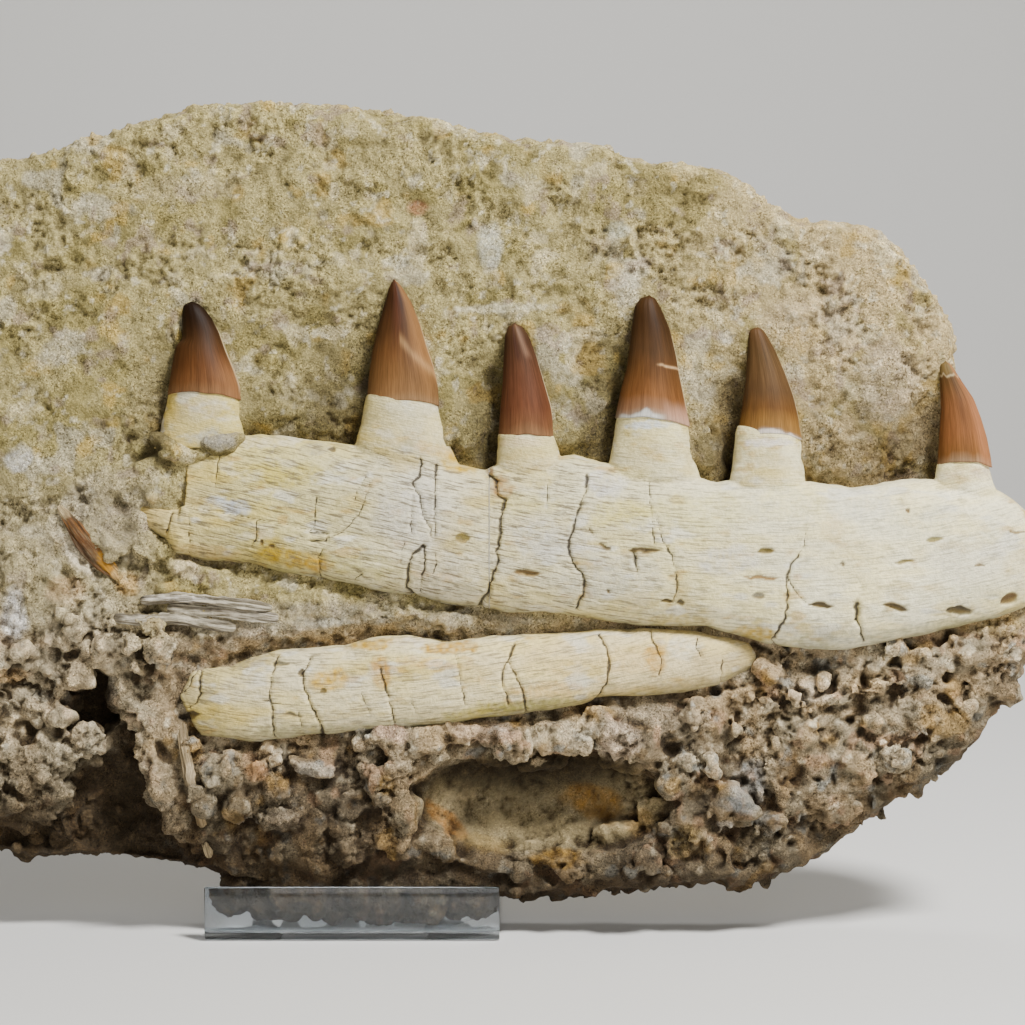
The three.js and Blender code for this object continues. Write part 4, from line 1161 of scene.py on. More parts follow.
# Each crack: half-width and depth in mm, then its course (x, z)
dentaryCracks = [
    (0.15, 0.25, [(-71, 151.1), (-58, 150.9), (-47.1, 148.7), (-27, 145), (-7.4, 140.8)]),
    (0.30, 0.9, [(-61.9, 148.3), (-62.6, 145.6), (-64, 141.4)]),
    (0.16, 0.3, [(-55.7, 149.4), (-55.7, 134.5)]),
    (0.18, 0.3, [(-45, 169.7), (-45.4, 166.3), (-46.7, 157.7)]),
    (0.16, 0.3, [(-32.3, 145.2), (-32.3, 140.4), (-34, 136.6)]),
    (0.18, 0.3, [(-11.9, 154.2), (-12.6, 142.5)]),
    (0.38, 0.8, [(-14.3, 141.4), (-8.1, 140.8), (-8.5, 138.3), (-13.6, 138.7)]),
    (0.2, 0.4, [(-8.1, 139.7), (-3.3, 141.4), (2.9, 147.7), (5, 152.5), (6.5, 158)]),
    (0.26, 0.6, [(-9.5, 135.6), (-10.9, 132.8), (-10.9, 126.3)]),
    (0.22, 0.4, [(3.6, 127.6), (1.2, 124.9)]),
    (0.18, 0.3, [(5.7, 161.1), (2.2, 156.3), (1.9, 152.8)]),
    (0.34, 0.8, [(24, 167), (24, 161.1), (21.2, 159), (22.3, 156.3), (23.6, 154.2), (25, 147.7),
                 (27.1, 143.5), (27.4, 140.4)]),
    (0.3, 0.7, [(29.5, 164.9), (28.8, 157.3), (28.8, 140.4)]),
    (0.24, 0.5, [(20.9, 156.3), (20.9, 141.8)]),
    (0.55, 1.0, [(25, 137), (20.9, 133.9), (19.5, 129), (19.1, 122.5), (23.3, 118)]),
    (0.34, 0.6, [(25, 137), (25.7, 132.1), (24.7, 127.3), (23.6, 121.4)]),
    (0.18, 0.3, [(28.8, 134.9), (29.5, 130.8), (28.5, 127.3)]),
    (0.18, 0.3, [(18.1, 138), (16.7, 131.4)]),
    (0.38, 1.2, [(47.4, 161.5), (49.9, 159.7), (50.2, 154.9), (53.3, 152.8), (51.6, 149),
                 (51.6, 141.8), (50.2, 134.9), (50.5, 131.1), (49.2, 128.3), (47.4, 121.4)]),
    (0.6, 1.6, [(47.4, 121.4), (44.7, 117.6), (44.3, 115.2)]),
    (0.18, 0.3, [(67.8, 158.7), (67.1, 149.4)]),
    (0.38, 1.1, [(81.2, 161.1), (80.6, 155.9), (78.8, 150.8), (76.8, 144.9), (75, 139),
                 (74.7, 134.2), (76.4, 131.1), (80.2, 125.6), (79.9, 120.7), (77.5, 115.6)]),
    (0.2, 0.4, [(102.3, 159.7), (103, 148.3), (104, 138)]),
    (0.24, 0.5, [(104.4, 147.3), (107.8, 137), (110.2, 133.5), (112, 122.1), (110.9, 118.7)]),
    (0.22, 0.6, [(97.1, 134.5), (98.2, 127.6)]),
    (0.55, 1.0, [(96.9, 134.8), (97.6, 131)]),
    (0.34, 0.9, [(153, 133.5), (150.2, 130.1), (149.2, 126.6), (149.6, 119.4), (149.2, 113.5),
                 (146.8, 107.6), (144.7, 103.8), (146.8, 102.1)]),
    (0.22, 0.4, [(149.2, 126.6), (152, 121.4), (156, 117.5)]),
    (0.2, 0.4, [(156, 143), (155.4, 138), (153, 133.5)]),
    (0.75, 1.8, [(173.4, 117.3), (173.4, 111.4)]),
    (0.36, 1.0, [(173.4, 111.4), (174.7, 108.7), (176.8, 103.5)]),
]
# Vessel holes and slits: x, z, half-length, half-height, turn in degrees, depth, shade
foramina = [
    (60.4, 127.6, 5.3, 1.2, -3, 1.0, "#6d5330"), (38.6, 139.6, 2.9, 2.0, 0, 0.8, "#75683c"),
    (86.9, 136.8, 2.6, 0.5, -25, 0.5, "#4a3c28"), (100.6, 135.4, 6.2, 0.9, 0, 1.0, "#4f3c22"),
    (108.5, 118.2, 2.8, 0.6, 0, 1.2, "#2b2015"), (113, 117.5, 1.6, 1.2, 0, 0.8, "#4c4639"),
    (142.3, 135.1, 3.4, 1.2, 0, 0.9, "#6e6030"), (140.6, 126.1, 6.9, 0.5, -2, 0.4, "#8a6a45"),
    (139.5, 120, 2.6, 1.2, 0, 0.3, "#7d7868"), (160.9, 116.6, 4.8, 1.0, -3, 1.6, "#3d2c18"),
    (186.5, 116.1, 4.8, 1.2, -14, 1.9, "#3b2a16"), (208.9, 114.7, 5.0, 1.5, -2, 2.2, "#2c2012"),
    (226.1, 118.5, 3.9, 2.0, 28, 1.6, "#5a3d22"), (189.9, 131.6, 3.8, 0.6, 8, 0.6, "#857a52"),
    (199.9, 139.4, 3.4, 0.7, 4, 0.5, "#8a8258"), (215.5, 130.4, 2.1, 0.4, 0, 0.4, "#6a5c42"),
    (228.7, 141.8, 3.3, 0.4, -6, 0.4, "#8c7a5a"), (-30.5, 138, 1.0, 0.7, 0, 0.7, "#4a3418"),
    (-27.1, 137, 1.0, 0.7, 0, 0.7, "#4a3418"), (191, 149, 1.0, 0.8, 0, 0.6, "#6a5236"),
    (-6.5, 170.5, 1.6, 0.9, 0, 0.5, "#5c5240"), (82.5, 142, 0.5, 1.6, 30, 0.5, "#4d4230"),
    (168.5, 131, 0.7, 0.9, 0, 0.4, "#6a6252"), (88.3, 121.5, 1.2, 0.6, -40, 0.6, "#4d4230"),
]
foldLine = [
    (-73, 151.1), (-58, 150.9), (-47.1, 148.7), (-27, 145), (-7.4, 140.8), (12, 136), (27.1, 132.1),
]
dentaryStains = [
    # x, z, half-length, half-height, turn, colour, strength
    (-46, 152.6, 4, 1.8, -5, "#bcbfbe", 0.9), (-39.5, 150.5, 5, 3.2, -10, "#bbbec0", 0.9),
    (-38, 145.8, 4, 1.6, -10, "#6d5f43", 0.5), (-52, 152.5, 7, 1.8, -6, "#93805a", 0.55),
    (-24, 161.5, 13, 5, 0, "#bcae6d", 0.7), (-47, 167, 8, 4, 10, "#c2af74", 0.45),
    (-20, 133, 15, 4, -10, "#a08238", 0.75), (-28, 136.6, 5, 4, 0, "#9c843a", 0.6),
    (-12, 130.6, 7, 2.6, -8, "#a67f3a", 0.5), (-50, 135, 12, 3, -8, "#c0a273", 0.4),
    (5, 131, 14, 5, -8, "#c9bf84", 0.4), (-30, 173, 16, 2.4, 4, "#ddd5bd", 0.6),
    (-12, 170.5, 6, 2.5, 0, "#a7a292", 0.55), (37, 165.5, 7, 4.2, -12, "#b5943f", 0.85),
    (30, 170, 8, 2.4, -12, "#c09a5c", 0.5), (51, 157, 4.4, 4.2, 0, "#8d6f4a", 0.85),
    (47.5, 163, 1.6, 2.6, 20, "#5c3a25", 0.8), (38, 158, 10, 5, 0, "#d4cbae", 0.5),
    (22, 150, 14, 14, 0, "#cdc9bf", 0.6), (32, 129, 12, 8, 0, "#cbc5b6", 0.5),
    (62, 152, 12, 5, 0, "#cfc489", 0.4), (62, 160, 7, 5, 0, "#cdbd86", 0.5),
    (66, 140, 16, 9, 0, "#cfccc4", 0.6), (90, 126, 16, 9, 0, "#c9c6bc", 0.5),
    (88, 158, 8, 5, 0, "#d3d0cb", 0.7), (92, 148, 12, 5, 0, "#d2c685", 0.5),
    (96, 117, 12, 4, 0, "#c5b585", 0.45), (120, 148, 20, 7, 0, "#dad2a0", 0.5),
    (128, 132, 12, 6, 0, "#d2cfc9", 0.6), (138.5, 107, 8, 3, -6, "#a98c40", 0.8),
    (112, 111.5, 12, 2.2, -3, "#a5925c", 0.6), (160, 104, 10, 2.6, 0, "#9a9678", 0.6),
    (172, 107, 12, 3, 0, "#b9b6a6", 0.55), (150, 152, 14, 6, 0, "#ddd4a5", 0.5),
    (176, 150, 12, 5, 0, "#e2dfce", 0.6), (195, 145, 14, 8, 0, "#e3dfc4", 0.6),
    (170, 135, 10, 12, 0, "#dcd4b4", 0.5), (212, 132, 14, 9, 0, "#e0dac6", 0.6),
    (216, 142, 10, 6, 0, "#ece4bb", 0.5), (232, 130, 8, 8, 0, "#d9cba0", 0.5),
    (212, 120, 18, 4, 3, "#d5cfae", 0.5), (165, 143, 5, 6, 0, "#cdb98c", 0.4),
    (200, 109, 24, 2.4, 9, "#a9a68c", 0.6), (118, 159, 8, 3, 0, "#e0d8c0", 0.5),
]
rootStains = [
    (-52, 184, 8, 5, 0, "#c9c0a8", 0.6), (-51, 178, 12, 4, 0, "#cdc093", 0.4),
    (-47, 173.5, 8, 4, -8, "#bdbcb2", 0.85), (17, 182, 9, 5, 0, "#c9c2a2", 0.5),
    (8, 176, 8, 8, 50, "#d8c99c", 0.5), (30, 176, 5, 8, -30, "#dbcd9f", 0.5),
    (60, 172.5, 9, 1.8, 0, "#dbc9a8", 0.6), (61, 166, 9, 4, 0, "#cdb98a", 0.5),
    (102, 178.5, 8, 1.6, 4, "#d9dcda", 0.9), (100, 170, 8, 6, 0, "#c6b78e", 0.5),
    (116, 170, 5, 9, 0, "#ddd3b2", 0.5), (144, 172.5, 10, 1.6, 0, "#e3dcd6", 0.8),
    (144, 165, 10, 5, 0, "#cfbf92", 0.5), (212, 162, 8, 2.6, 0, "#cbb895", 0.6),
    (217, 162, 5, 2.5, 0, "#cfc4b8", 0.5), (206, 158, 6, 2.5, 0, "#b9a774", 0.4),
]
lowerCracks = [
    (0.34, 0.8, [(-52.3, 93.8), (-52.3, 86.2), (-53.6, 82.8), (-56.5, 81)]),
    (0.2, 0.4, [(-53.6, 93.8), (-55.7, 89), (-58.5, 86.2)]),
    (0.3, 0.8, [(-25.4, 99.4), (-27.4, 92.5), (-28.1, 84.9), (-26.7, 80.7), (-27.1, 76.6),
                (-26.4, 70.7)]),
    (0.3, 0.5, [(-30.9, 83.8), (-24, 82.8)]),
    (0.4, 1.0, [(-14.3, 98.7), (-16.4, 93.8), (-16.4, 89.7), (-14.7, 84.2), (-10.9, 76.6),
                (-10.2, 71.8)]),
    (0.2, 0.4, [(-18.1, 80), (-17.1, 73.1)]),
    (0.3, 0.8, [(10.2, 95.2), (11.6, 89.7), (13.6, 82.1), (15.4, 74.5)]),
    (0.18, 0.3, [(3.6, 86.2), (6.4, 79.3)]),
    (0.18, 0.3, [(20.2, 85.6), (22.3, 79.3)]),
    (0.24, 0.5, [(35.7, 100), (37.8, 91.1), (39.2, 82.1)]),
    (0.34, 0.8, [(56.1, 103.5), (54.3, 98.7), (52.3, 94.5), (51.9, 89.4), (54.3, 82.5)]),
    (0.34, 0.8, [(54.3, 97.3), (58.5, 88.7), (60.5, 79.7)]),
    (0.32, 0.9, [(85.4, 106.6), (87.5, 102.1), (88.8, 98), (87.8, 90), (86.1, 85.9), (82.6, 81.1)]),
    (0.34, 0.6, [(103, 107.6), (104, 103.5), (106.8, 98), (106.1, 92.5)]),
    (0.24, 0.5, [(119.2, 105.6), (118.2, 102.1), (120.6, 99)]),
    (0.2, 0.4, [(127.8, 98), (127.5, 89.4)]),
]
lowerPits = [
    (-17, 93.5, 1.2, 1.4, 0, 0.8, "#5a5040"), (-9.5, 87.5, 1.6, 1.1, 20, 0.6, "#6a5c3a"),
    (-24, 96.8, 3.5, 0.8, -4, 0.4, "#6b6552"), (-20, 79, 4, 0.5, -8, 0.4, "#7a735e"),
    (-56, 78.5, 4, 1.4, 10, 1.2, "#3d3020"), (-57.5, 74, 3, 1.2, -20, 1.0, "#3a3024"),
]
lowerStains = [
    (-8, 91, 8, 4, 0, "#c19b4c", 0.8), (7, 103, 9, 2.2, 6, "#b18a34", 0.75),
    (34.5, 102, 11, 2.2, 2, "#ae8436", 0.8), (10.5, 93.5, 3.6, 6, 0, "#b08440", 0.75),
    (-45, 78, 12, 5, -8, "#cdbb82", 0.5), (-36, 88, 12, 5, 0, "#cfc8b4", 0.5),
    (-35, 97, 12, 2.4, 4, "#9f9883", 0.6), (-20, 73.5, 18, 2.4, 2, "#97916f", 0.6),
    (20, 75.6, 24, 2.2, 3, "#8f8f78", 0.6), (44, 79, 14, 4, 8, "#a3984f", 0.65),
    (64, 82, 16, 2.6, 4, "#8b8752", 0.7), (0, 82, 14, 6, 0, "#e0d8bd", 0.5),
    (48, 95, 10, 6, 0, "#e2d3ae", 0.5), (72, 98, 12, 6, 0, "#dcc9a2", 0.5),
    (70, 88, 12, 3, 3, "#c9a36b", 0.4), (95, 98, 10, 6, 0, "#d6bd90", 0.5),
    (105, 99, 4, 7, 0, "#b58d50", 0.6), (113, 102, 7, 4.5, 0, "#e4dfcc", 0.7),
    (124, 97, 9, 5, 0, "#c8b792", 0.6), (112, 89, 14, 2.6, 6, "#a9966c", 0.6),
    (132, 97, 7, 4, 0, "#a99a7c", 0.6), (-56, 88, 4, 6, 0, "#b3a78a", 0.5),
    (25, 97, 9, 2, -4, "#c99d60", 0.4), (20, 104, 8, 1.4, 3, "#e0d6c2", 0.6),
]


# Blotches on the bones: length in mm, how rare, colour, strength
bonePatches = [
    (16, 0.2, "#b9a468", 0.45), (11, 0.26, "#dcdad0", 0.6), (8, 0.3, "#a9854a", 0.45),
    (5, 0.28, "#8f8560", 0.35), (7, 0.3, "#e6dfc6", 0.5),
]


def boneShell(bone):
    left, right = bone["top"][0][0], bone["top"][-1][0]
    x = np.linspace(left + 0.15, right - 0.15, boneRelief["stations"])[:, None]
    upper = valueAt(x, bone["top"])
    lower = valueAt(x, bone["bottom"])
    ragged = boneRelief["edgeWear"]
    upper = upper + ragged * fractal(x / 6, 3, 1.5, 2)
    lower = lower + ragged * fractal(x / 9, 8, 4.5, 2)
    turn = wholeTurn(boneRelief["sides"])[None, :]
    power = bone["squareness"]
    forward = np.sign(np.cos(turn)) * np.abs(np.cos(turn)) ** power
    rise = np.sign(np.sin(turn)) * np.abs(np.sin(turn)) ** power
    depth = np.where(forward > 0, valueAt(x, bone["bulge"]), bone["back"])
    y = -bone["seat"] - forward * depth
    z = (upper + lower) / 2 + rise * (upper - lower) / 2
    return loftShell(np.stack([np.broadcast_to(x, y.shape), y, z], 2))


def rootShell(tooth):
    share = toothDepth["share"] * tooth["width"]
    h = np.linspace(0, 1 + boneRelief["rootInside"] / (tooth["z"] - tooth["footZ"]), 40)[:, None]
    turn = wholeTurn(96)[None, :]
    pinch = np.clip(h, 0, 1) ** 0.6
    inner = 0.5 + ease((h - 1) / 0.2) * 0.8
    half = mixed(tooth["footWidth"] / 2, tooth["width"] / 2 - inner, pinch)
    front = mixed(toothDepth["footFront"], toothDepth["middle"] + share - inner, pinch)
    back = mixed(toothDepth["footBack"], toothDepth["middle"] - share, pinch)
    across = np.cos(turn)
    x = mixed(tooth["footX"], tooth["x"], pinch) + across * half
    y = -(front + back) / 2 - np.sin(turn) * (front - back) / 2
    z = mixed(tooth["footZ"], tooth["z"] - 0.3, h) + tooth["tilt"] * across * tooth["width"] / 2 * h
    return loftShell(np.stack([x, y, np.broadcast_to(z, y.shape)], 2))


def carveBone(mesh, bone, cracks, pits, fibres, fold=None):
    points = pointsOf(mesh)
    normals = pointsOf(mesh, "normal")
    x, y, z = points.T
    lowEdge = np.polyval(np.polyfit(*np.array(bone["bottom"]).T, 3), x)
    grain = z - lowEdge
    streaky = fibres(x, z)
    lift = boneRelief["swell"] * fractal(x / 17, 2, z / 11) + boneRelief["ripple"] * fractal(x / 5, 5, z / 4)
    lift += boneRelief["striae"] * streaky * (noise(x / 12, 1, grain / 0.9) + noise(x / 6, 6, grain / 1.7))
    if fold:
        foldZ = valueAt(x, fold)
        above = z - foldZ
        fade = ease((fold[-1][0] + 8 - x) / 30)
        step = boneRelief["foldStep"] * fade
        lift += step * (ease((0.5 - above) / 1.0) - 1) * ease((16 - above) / 14)
    crack = np.full(len(x), 4.0)
    wobbleX = x + 0.4 * noise(x / 1.9, 1, z / 1.9) + 0.2 * noise(x / 0.8, 4, z / 0.8)
    wobbleZ = z + 0.4 * noise(x / 1.9, 9, z / 1.9)
    for half, depth, course in cracks:
        cx, cz = np.array(course).T
        near = (x > cx.min() - 4) & (x < cx.max() + 4) & (z > cz.min() - 4) & (z < cz.max() + 4)
        distance = distanceToPath(wobbleX[near], wobbleZ[near], course)
        width = half * (0.8 + 0.45 * noise(x[near] / 4, 2, z[near] / 4))
        crack[near] = np.minimum(crack[near], distance / width)
        lift[near] -= depth * np.exp(-((distance / max(half * 1.5, 0.5)) ** 2))
    pitShade = np.zeros(len(x))
    colour = np.zeros((len(x), 3))
    for px, pz, rx, rz, turn, depth, shade in pits:
        dx, dz = turned(wobbleX - px, wobbleZ - pz, turn)
        u = np.clip(np.abs(dx) / rx, 0, 1)
        limit = rz * (1 - u**2) + 1e-6
        across = dz / (limit + 0.25)
        inside = np.clip(1 - across**2, 0, 1) * (u < 1)
        lift -= depth * inside**0.7 * (1 - u**2)
        mask = ease(inside * (1 - u**3) * 1.6)
        # painted shade and light in each pit: its colour darkened, most at its upper wall, and its lower
        # wall painted lit in ochre
        lit = 0.6 * ease((0.15 - across) / 0.9)
        pitTone = mixed(linear(shade) * 0.75, linear("#a8946a"), lit[:, None])
        colour = np.where((mask > pitShade)[:, None], pitTone, colour)
        pitShade = np.maximum(pitShade, mask)
    front = ease((-y - 17) / 3)
    movePoints(mesh, points + normals * (lift * front)[:, None])
    storeField(mesh, "crack", crack)
    storeField(mesh, "grain", np.stack([x, streaky, grain], 1))
    return pitShade, colour


def paintBone(mesh, bone, tones, stains, pitShade, pitColour):
    points = pointsOf(mesh)
    x, y, z = points.T
    stops = np.array([linear(shade) for _, shade in tones])
    places = [place for place, _ in tones]
    colour = np.stack([np.interp(x, places, stops[:, n]) for n in range(3)], 1)
    broad = fractal(x / 12, 4, z / 7)
    colour *= (1 + 0.07 * broad)[:, None]
    yellow = ease(0.3 + 1.3 * fractal(x / 16, 12, z / 6))
    colour = mixed(colour, colour * np.array([1.02, 0.96, 0.74]), (0.6 * yellow)[:, None])
    root = ease((z - 164) / 10)
    colour = mixed(colour, colour * np.array([1.0, 0.95, 0.78]), (0.55 * root)[:, None])
    for n, (size, rare, shade, strength) in enumerate(bonePatches):
        field = fractal(x / size + 13 * n, y / 6, z * 2.2 / size + 5 * n)
        colour = mixed(colour, linear(shade), (strength * ease((field - rare) / 0.25))[:, None])
    paintSpots(points, colour, stains, ragged=0.45)
    lower = valueAt(x, bone["bottom"])
    upper = valueAt(x, bone["top"])
    # painted shade along the lower edge, which turns under away from the light
    rim = ease((3.2 - (z - lower)) / 3.2)
    colour = mixed(colour, linear("#7f7a62"), (0.55 * rim)[:, None])
    # painted highlight along the lit top edge
    litTopEdge = ease((1.6 - np.abs(upper - z)) / 1.6)
    colour = mixed(colour, linear("#d9cfae"), (0.3 * litTopEdge)[:, None])
    colour = mixed(colour, pitColour, (0.92 * pitShade)[:, None])
    storePaint(mesh, colour, richness=1.4)


# Fossil bone, brushed clean and left dry: dull, cream, with its lengthwise fibres open as fine dark lines
# half a millimetre apart, which are drawn about twice as coarse so that they show.
boneMaterial, boneNodes, boneShader = newMaterial(
    "dryFossilBone", Roughness=0.68, IOR=1.56, Specular_IOR_Level=0.4
)


boneLook = {
    "fibre": (0.13, 0.0, 1.5),  # the first and last: how many fibres a millimetre, along and across
    "speck": 0.0013, "fibreDirt": "#63563a", "fibreShare": 0.8, "crackDirt": "#33291c", "crackShare": 0.92,
}


def fibrousBone(tree, shader):
    paint = addNode(tree, "ShaderNodeAttribute", attribute_name="paint")["Color"]
    crack = addNode(tree, "ShaderNodeAttribute", attribute_name="crack")["Fac"]
    fibre = addNode(tree, "ShaderNodeAttribute", attribute_name="grain")["Vector"]
    streaky = addNode(tree, "ShaderNodeSeparateXYZ", {0: fibre})[1]
    along = addNode(
        tree, "ShaderNodeVectorMath", {0: fibre, 1: boneLook["fibre"]}, operation="MULTIPLY"
    )[0]
    fine = addNode(
        tree, "ShaderNodeTexNoise", {"Vector": along, "Scale": 1.0, "Detail": 3.0, "Roughness": 0.65}
    )[0]
    lines = addNode(tree, "ShaderNodeMapRange", {0: fine, 1: 0.4, 2: 0.49, 3: 1.0, 4: 0.0})[0]
    shown = addNode(tree, **multiplied, inputs={0: lines, 1: streaky})[0]
    place = addNode(tree, "ShaderNodeTexCoord")["Object"]
    speck = addNode(
        tree,
        "ShaderNodeTexNoise",
        {"Vector": place, "Scale": 1 / boneLook["speck"], "Detail": 3.0, "Roughness": 0.7},
    )[0]
    specks = addNode(tree, "ShaderNodeMapRange", {0: speck, 1: 0.3, 2: 0.7, 3: 0.84, 4: 1.14})[0]
    base = addNode(
        tree, "ShaderNodeMix", {0: 1.0, 6: paint, 7: specks}, data_type="RGBA", blend_type="MULTIPLY"
    )[2]
    darkening = (*linear(boneLook["fibreDirt"]), 1)
    fibreShare = addNode(tree, **multiplied, inputs={0: shown, 1: boneLook["fibreShare"]})[0]
    fibred = addNode(tree, "ShaderNodeMix", {0: fibreShare, 6: base, 7: darkening}, data_type="RGBA")[2]
    crackBand = {0: crack, 1: 0.55, 2: 1.5, 3: boneLook["crackShare"], 4: 0.0}
    crackShare = addNode(tree, "ShaderNodeMapRange", crackBand)[0]
    crackDirt = (*linear(boneLook["crackDirt"]), 1)
    cracked = addNode(tree, "ShaderNodeMix", {0: crackShare, 6: fibred, 7: crackDirt}, data_type="RGBA")[2]
    tree.links.new(cracked, shader.inputs["Base Color"])
    relief = addNode(tree, **added, inputs={0: fine, 1: speck})[0]
    dented = addNode(tree, "ShaderNodeMath", {0: relief, 1: crackShare}, operation="SUBTRACT")[0]
    bump = addNode(tree, "ShaderNodeBump", {"Strength": 0.8, "Distance": 0.0006, "Height": dented})[0]
    tree.links.new(bump, shader.inputs["Normal"])


fibrousBone(boneNodes, boneShader)


def finishBone(obj, name, left, right, node):  # the part of a bone between two values of x
    piece = cutPiece(obj, name, (left, -200, 0), (right, boneRelief["backCut"], 300))
    finishPiece(piece, boneMaterial, "fossil_bone", node)
    print(name, len(piece.data.polygons))


dentaryTones = [
    (-75, "#c2ad80"), (-58, "#cabd94"), (-30, "#cbc195"), (0, "#cfc7a6"), (25, "#d3cdb9"), (60, "#d2cbb0"),
    (110, "#ded7b8"), (160, "#efe9ce"), (205, "#f8f2d8"), (243, "#e8e0c2"),
]
lowerTones = [
    (-59, "#c2b48c"), (-45, "#cfc39c"), (-20, "#d8cfb2"), (20, "#e0d5b2"), (60, "#e5d8b4"),
    (100, "#e2d3ae"), (125, "#d6c9a8"), (140, "#b9ab8c"),
]


def jawFibres(x, z):  # how plainly the fibres show: less to the right, and hardly on the roots
    above = z - valueAt(x, dentary["top"])
    return mixed(1.0, 0.42, ease((x - 70) / 90)) * mixed(1.0, 0.12, ease((above + 3) / 4))


def lowerFibres(x, z):
    return mixed(0.75, 0.5, ease((x - 60) / 60))


points, faces = joinShells([boneShell(dentary), *[rootShell(tooth) for tooth in teeth]])
jaw = newObject("jaw", meshFrom("jaw", points, faces))
remesh(jaw, boneRelief)
pitShade, pitColour = carveBone(jaw.data, dentary, dentaryCracks, foramina, jawFibres, foldLine)
paintBone(jaw.data, dentary, dentaryTones, [*dentaryStains, *rootStains], pitShade, pitColour)
splitAt = 47.4  # x of the crack that the two halves of the bone meet in
finishBone(jaw, "dentary_left", -200, splitAt, "dentary_with_roots")
finishBone(jaw, "dentary_right", splitAt, 400, "dentary_with_roots")
bpy.data.objects.remove(jaw)

points, faces = boneShell(lowerBone)
second = newObject("second", meshFrom("second", points, faces))
remesh(second, boneRelief)
pitShade, pitColour = carveBone(second.data, lowerBone, lowerCracks, lowerPits, lowerFibres)
paintBone(second.data, lowerBone, lowerTones, lowerStains, pitShade, pitColour)
finishBone(second, "lower_jaw_bone_piece", -200, 400, "lower_jaw_bone")
bpy.data.objects.remove(second)
print("jaw bones carved")

crownShape = {
    "rings": 150, "sides": 110, "arch": 1.5, "striae": 0.05, "flatness": 0.72,
    "streaks": (2.2, 2.2, 0.14),  # how many a millimetre, across the crown twice and up it
}
# Each crown's left and right edges (z, x), and its enamel from the tip down: share of height, colour
crowns = [
    {
        "left": [(187.9, -63.7), (190.5, -63.4), (200.1, -61.9), (205.6, -61), (207.6, -59), (208.6, -58.6),
                 (216.5, -58.6), (219.9, -58.1), (221.7, -55.9)],
        "right": [(187.9, -38.2), (193.3, -38.5), (198.7, -40.5), (204.9, -43.3), (211, -45.6),
                  (215.8, -48.4), (219.2, -51.1), (221.1, -53.6), (221.7, -55.9)],
        "shades": [(1, "#33200f"), (0.8, "#3f2712"), (0.55, "#5a3a1e"), (0.3, "#774a26"), (0.12, "#8d5c34"),
                   (0, "#a1744c")],
    },
    {
        "left": [(187, 5.2), (196, 5.9), (203.5, 6.9), (212.4, 8.9), (220.6, 11.3), (225.6, 12.7),
                 (229.1, 14.3)],
        "right": [(187, 30.7), (191.9, 30.5), (198.7, 28.7), (206.2, 26), (213.7, 23.7), (221.2, 20.6),
                  (226, 17.6), (228.4, 15.6), (229.1, 14.3)],
        "shades": [(1, "#6b4222"), (0.85, "#5d3920"), (0.6, "#684425"), (0.4, "#835831"), (0.2, "#966a3e"),
                   (0.06, "#a87a4c"), (0, "#b48a5e")],
    },
    {
        "left": [(174.6, 50.6), (185.3, 51.3), (193.6, 52.1), (202, 52.4), (209.5, 52.9), (212.9, 54),
                 (214, 56.1)],
        "right": [(174.6, 70.6), (185.3, 69), (193.6, 66.5), (202, 64), (209.5, 61.1), (213, 58.8),
                  (214, 56.1)],
        "shades": [(1, "#7f5a36"), (0.85, "#724c32"), (0.5, "#774a31"), (0.25, "#845135"), (0.1, "#93613f"),
                   (0, "#a97c55")],
    },
    {
        "left": [(180, 90.9), (189.4, 92.8), (197.8, 94.9), (203.7, 95.7), (212, 96.6), (219.8, 97.8),
                 (222.7, 99.9), (223.6, 103)],
        "right": [(179, 117.1), (181.9, 116.6), (189.4, 115), (197, 113.3), (203.7, 112.1), (212, 110),
                  (219.5, 106.6), (222.7, 104.7), (223.6, 103)],
        "shades": [(1, "#6d4a26"), (0.8, "#5d3e20"), (0.55, "#66472a"), (0.35, "#82562e"), (0.18, "#9c6638"),
                   (0.07, "#b48460"), (0, "#cbb296")],
    },
    {
        "left": [(175.2, 133.5), (178.6, 133.8), (186.9, 135.1), (195.3, 136.1), (203.7, 136.6),
                 (210.8, 137.1), (212.3, 138.2), (212.9, 139.9)],
        "right": [(174.6, 155.6), (182.7, 154.3), (189.4, 152.6), (197, 149.7), (204.5, 146.3), (210.3, 143),
                  (212.3, 141.3), (212.9, 139.9)],
        "shades": [(1, "#93693e"), (0.75, "#80603a"), (0.4, "#735434"), (0.24, "#845a2e"), (0.12, "#b07f40"),
                   (0.05, "#b8884a"), (0, "#dccab4")],
    },
    {
        "left": [(164.6, 202.1), (171.9, 202.7), (178.3, 203.1), (184.7, 203.4), (191.1, 203.2),
                 (196.5, 202.9), (199.5, 203.2), (200.9, 204.8)],
        "right": [(164.6, 221.2), (169.3, 220.5), (175.1, 219.3), (181.5, 217.3), (187.9, 214.8),
                  (193.6, 210.9), (198.4, 207.8), (200.3, 206.3), (200.9, 204.8)],
        "shades": [(1, "#7d6136"), (0.86, "#8a6436"), (0.6, "#a1693e"), (0.3, "#a86c3e"), (0.1, "#a06a38"),
                   (0, "#c19a72")],
    },
]


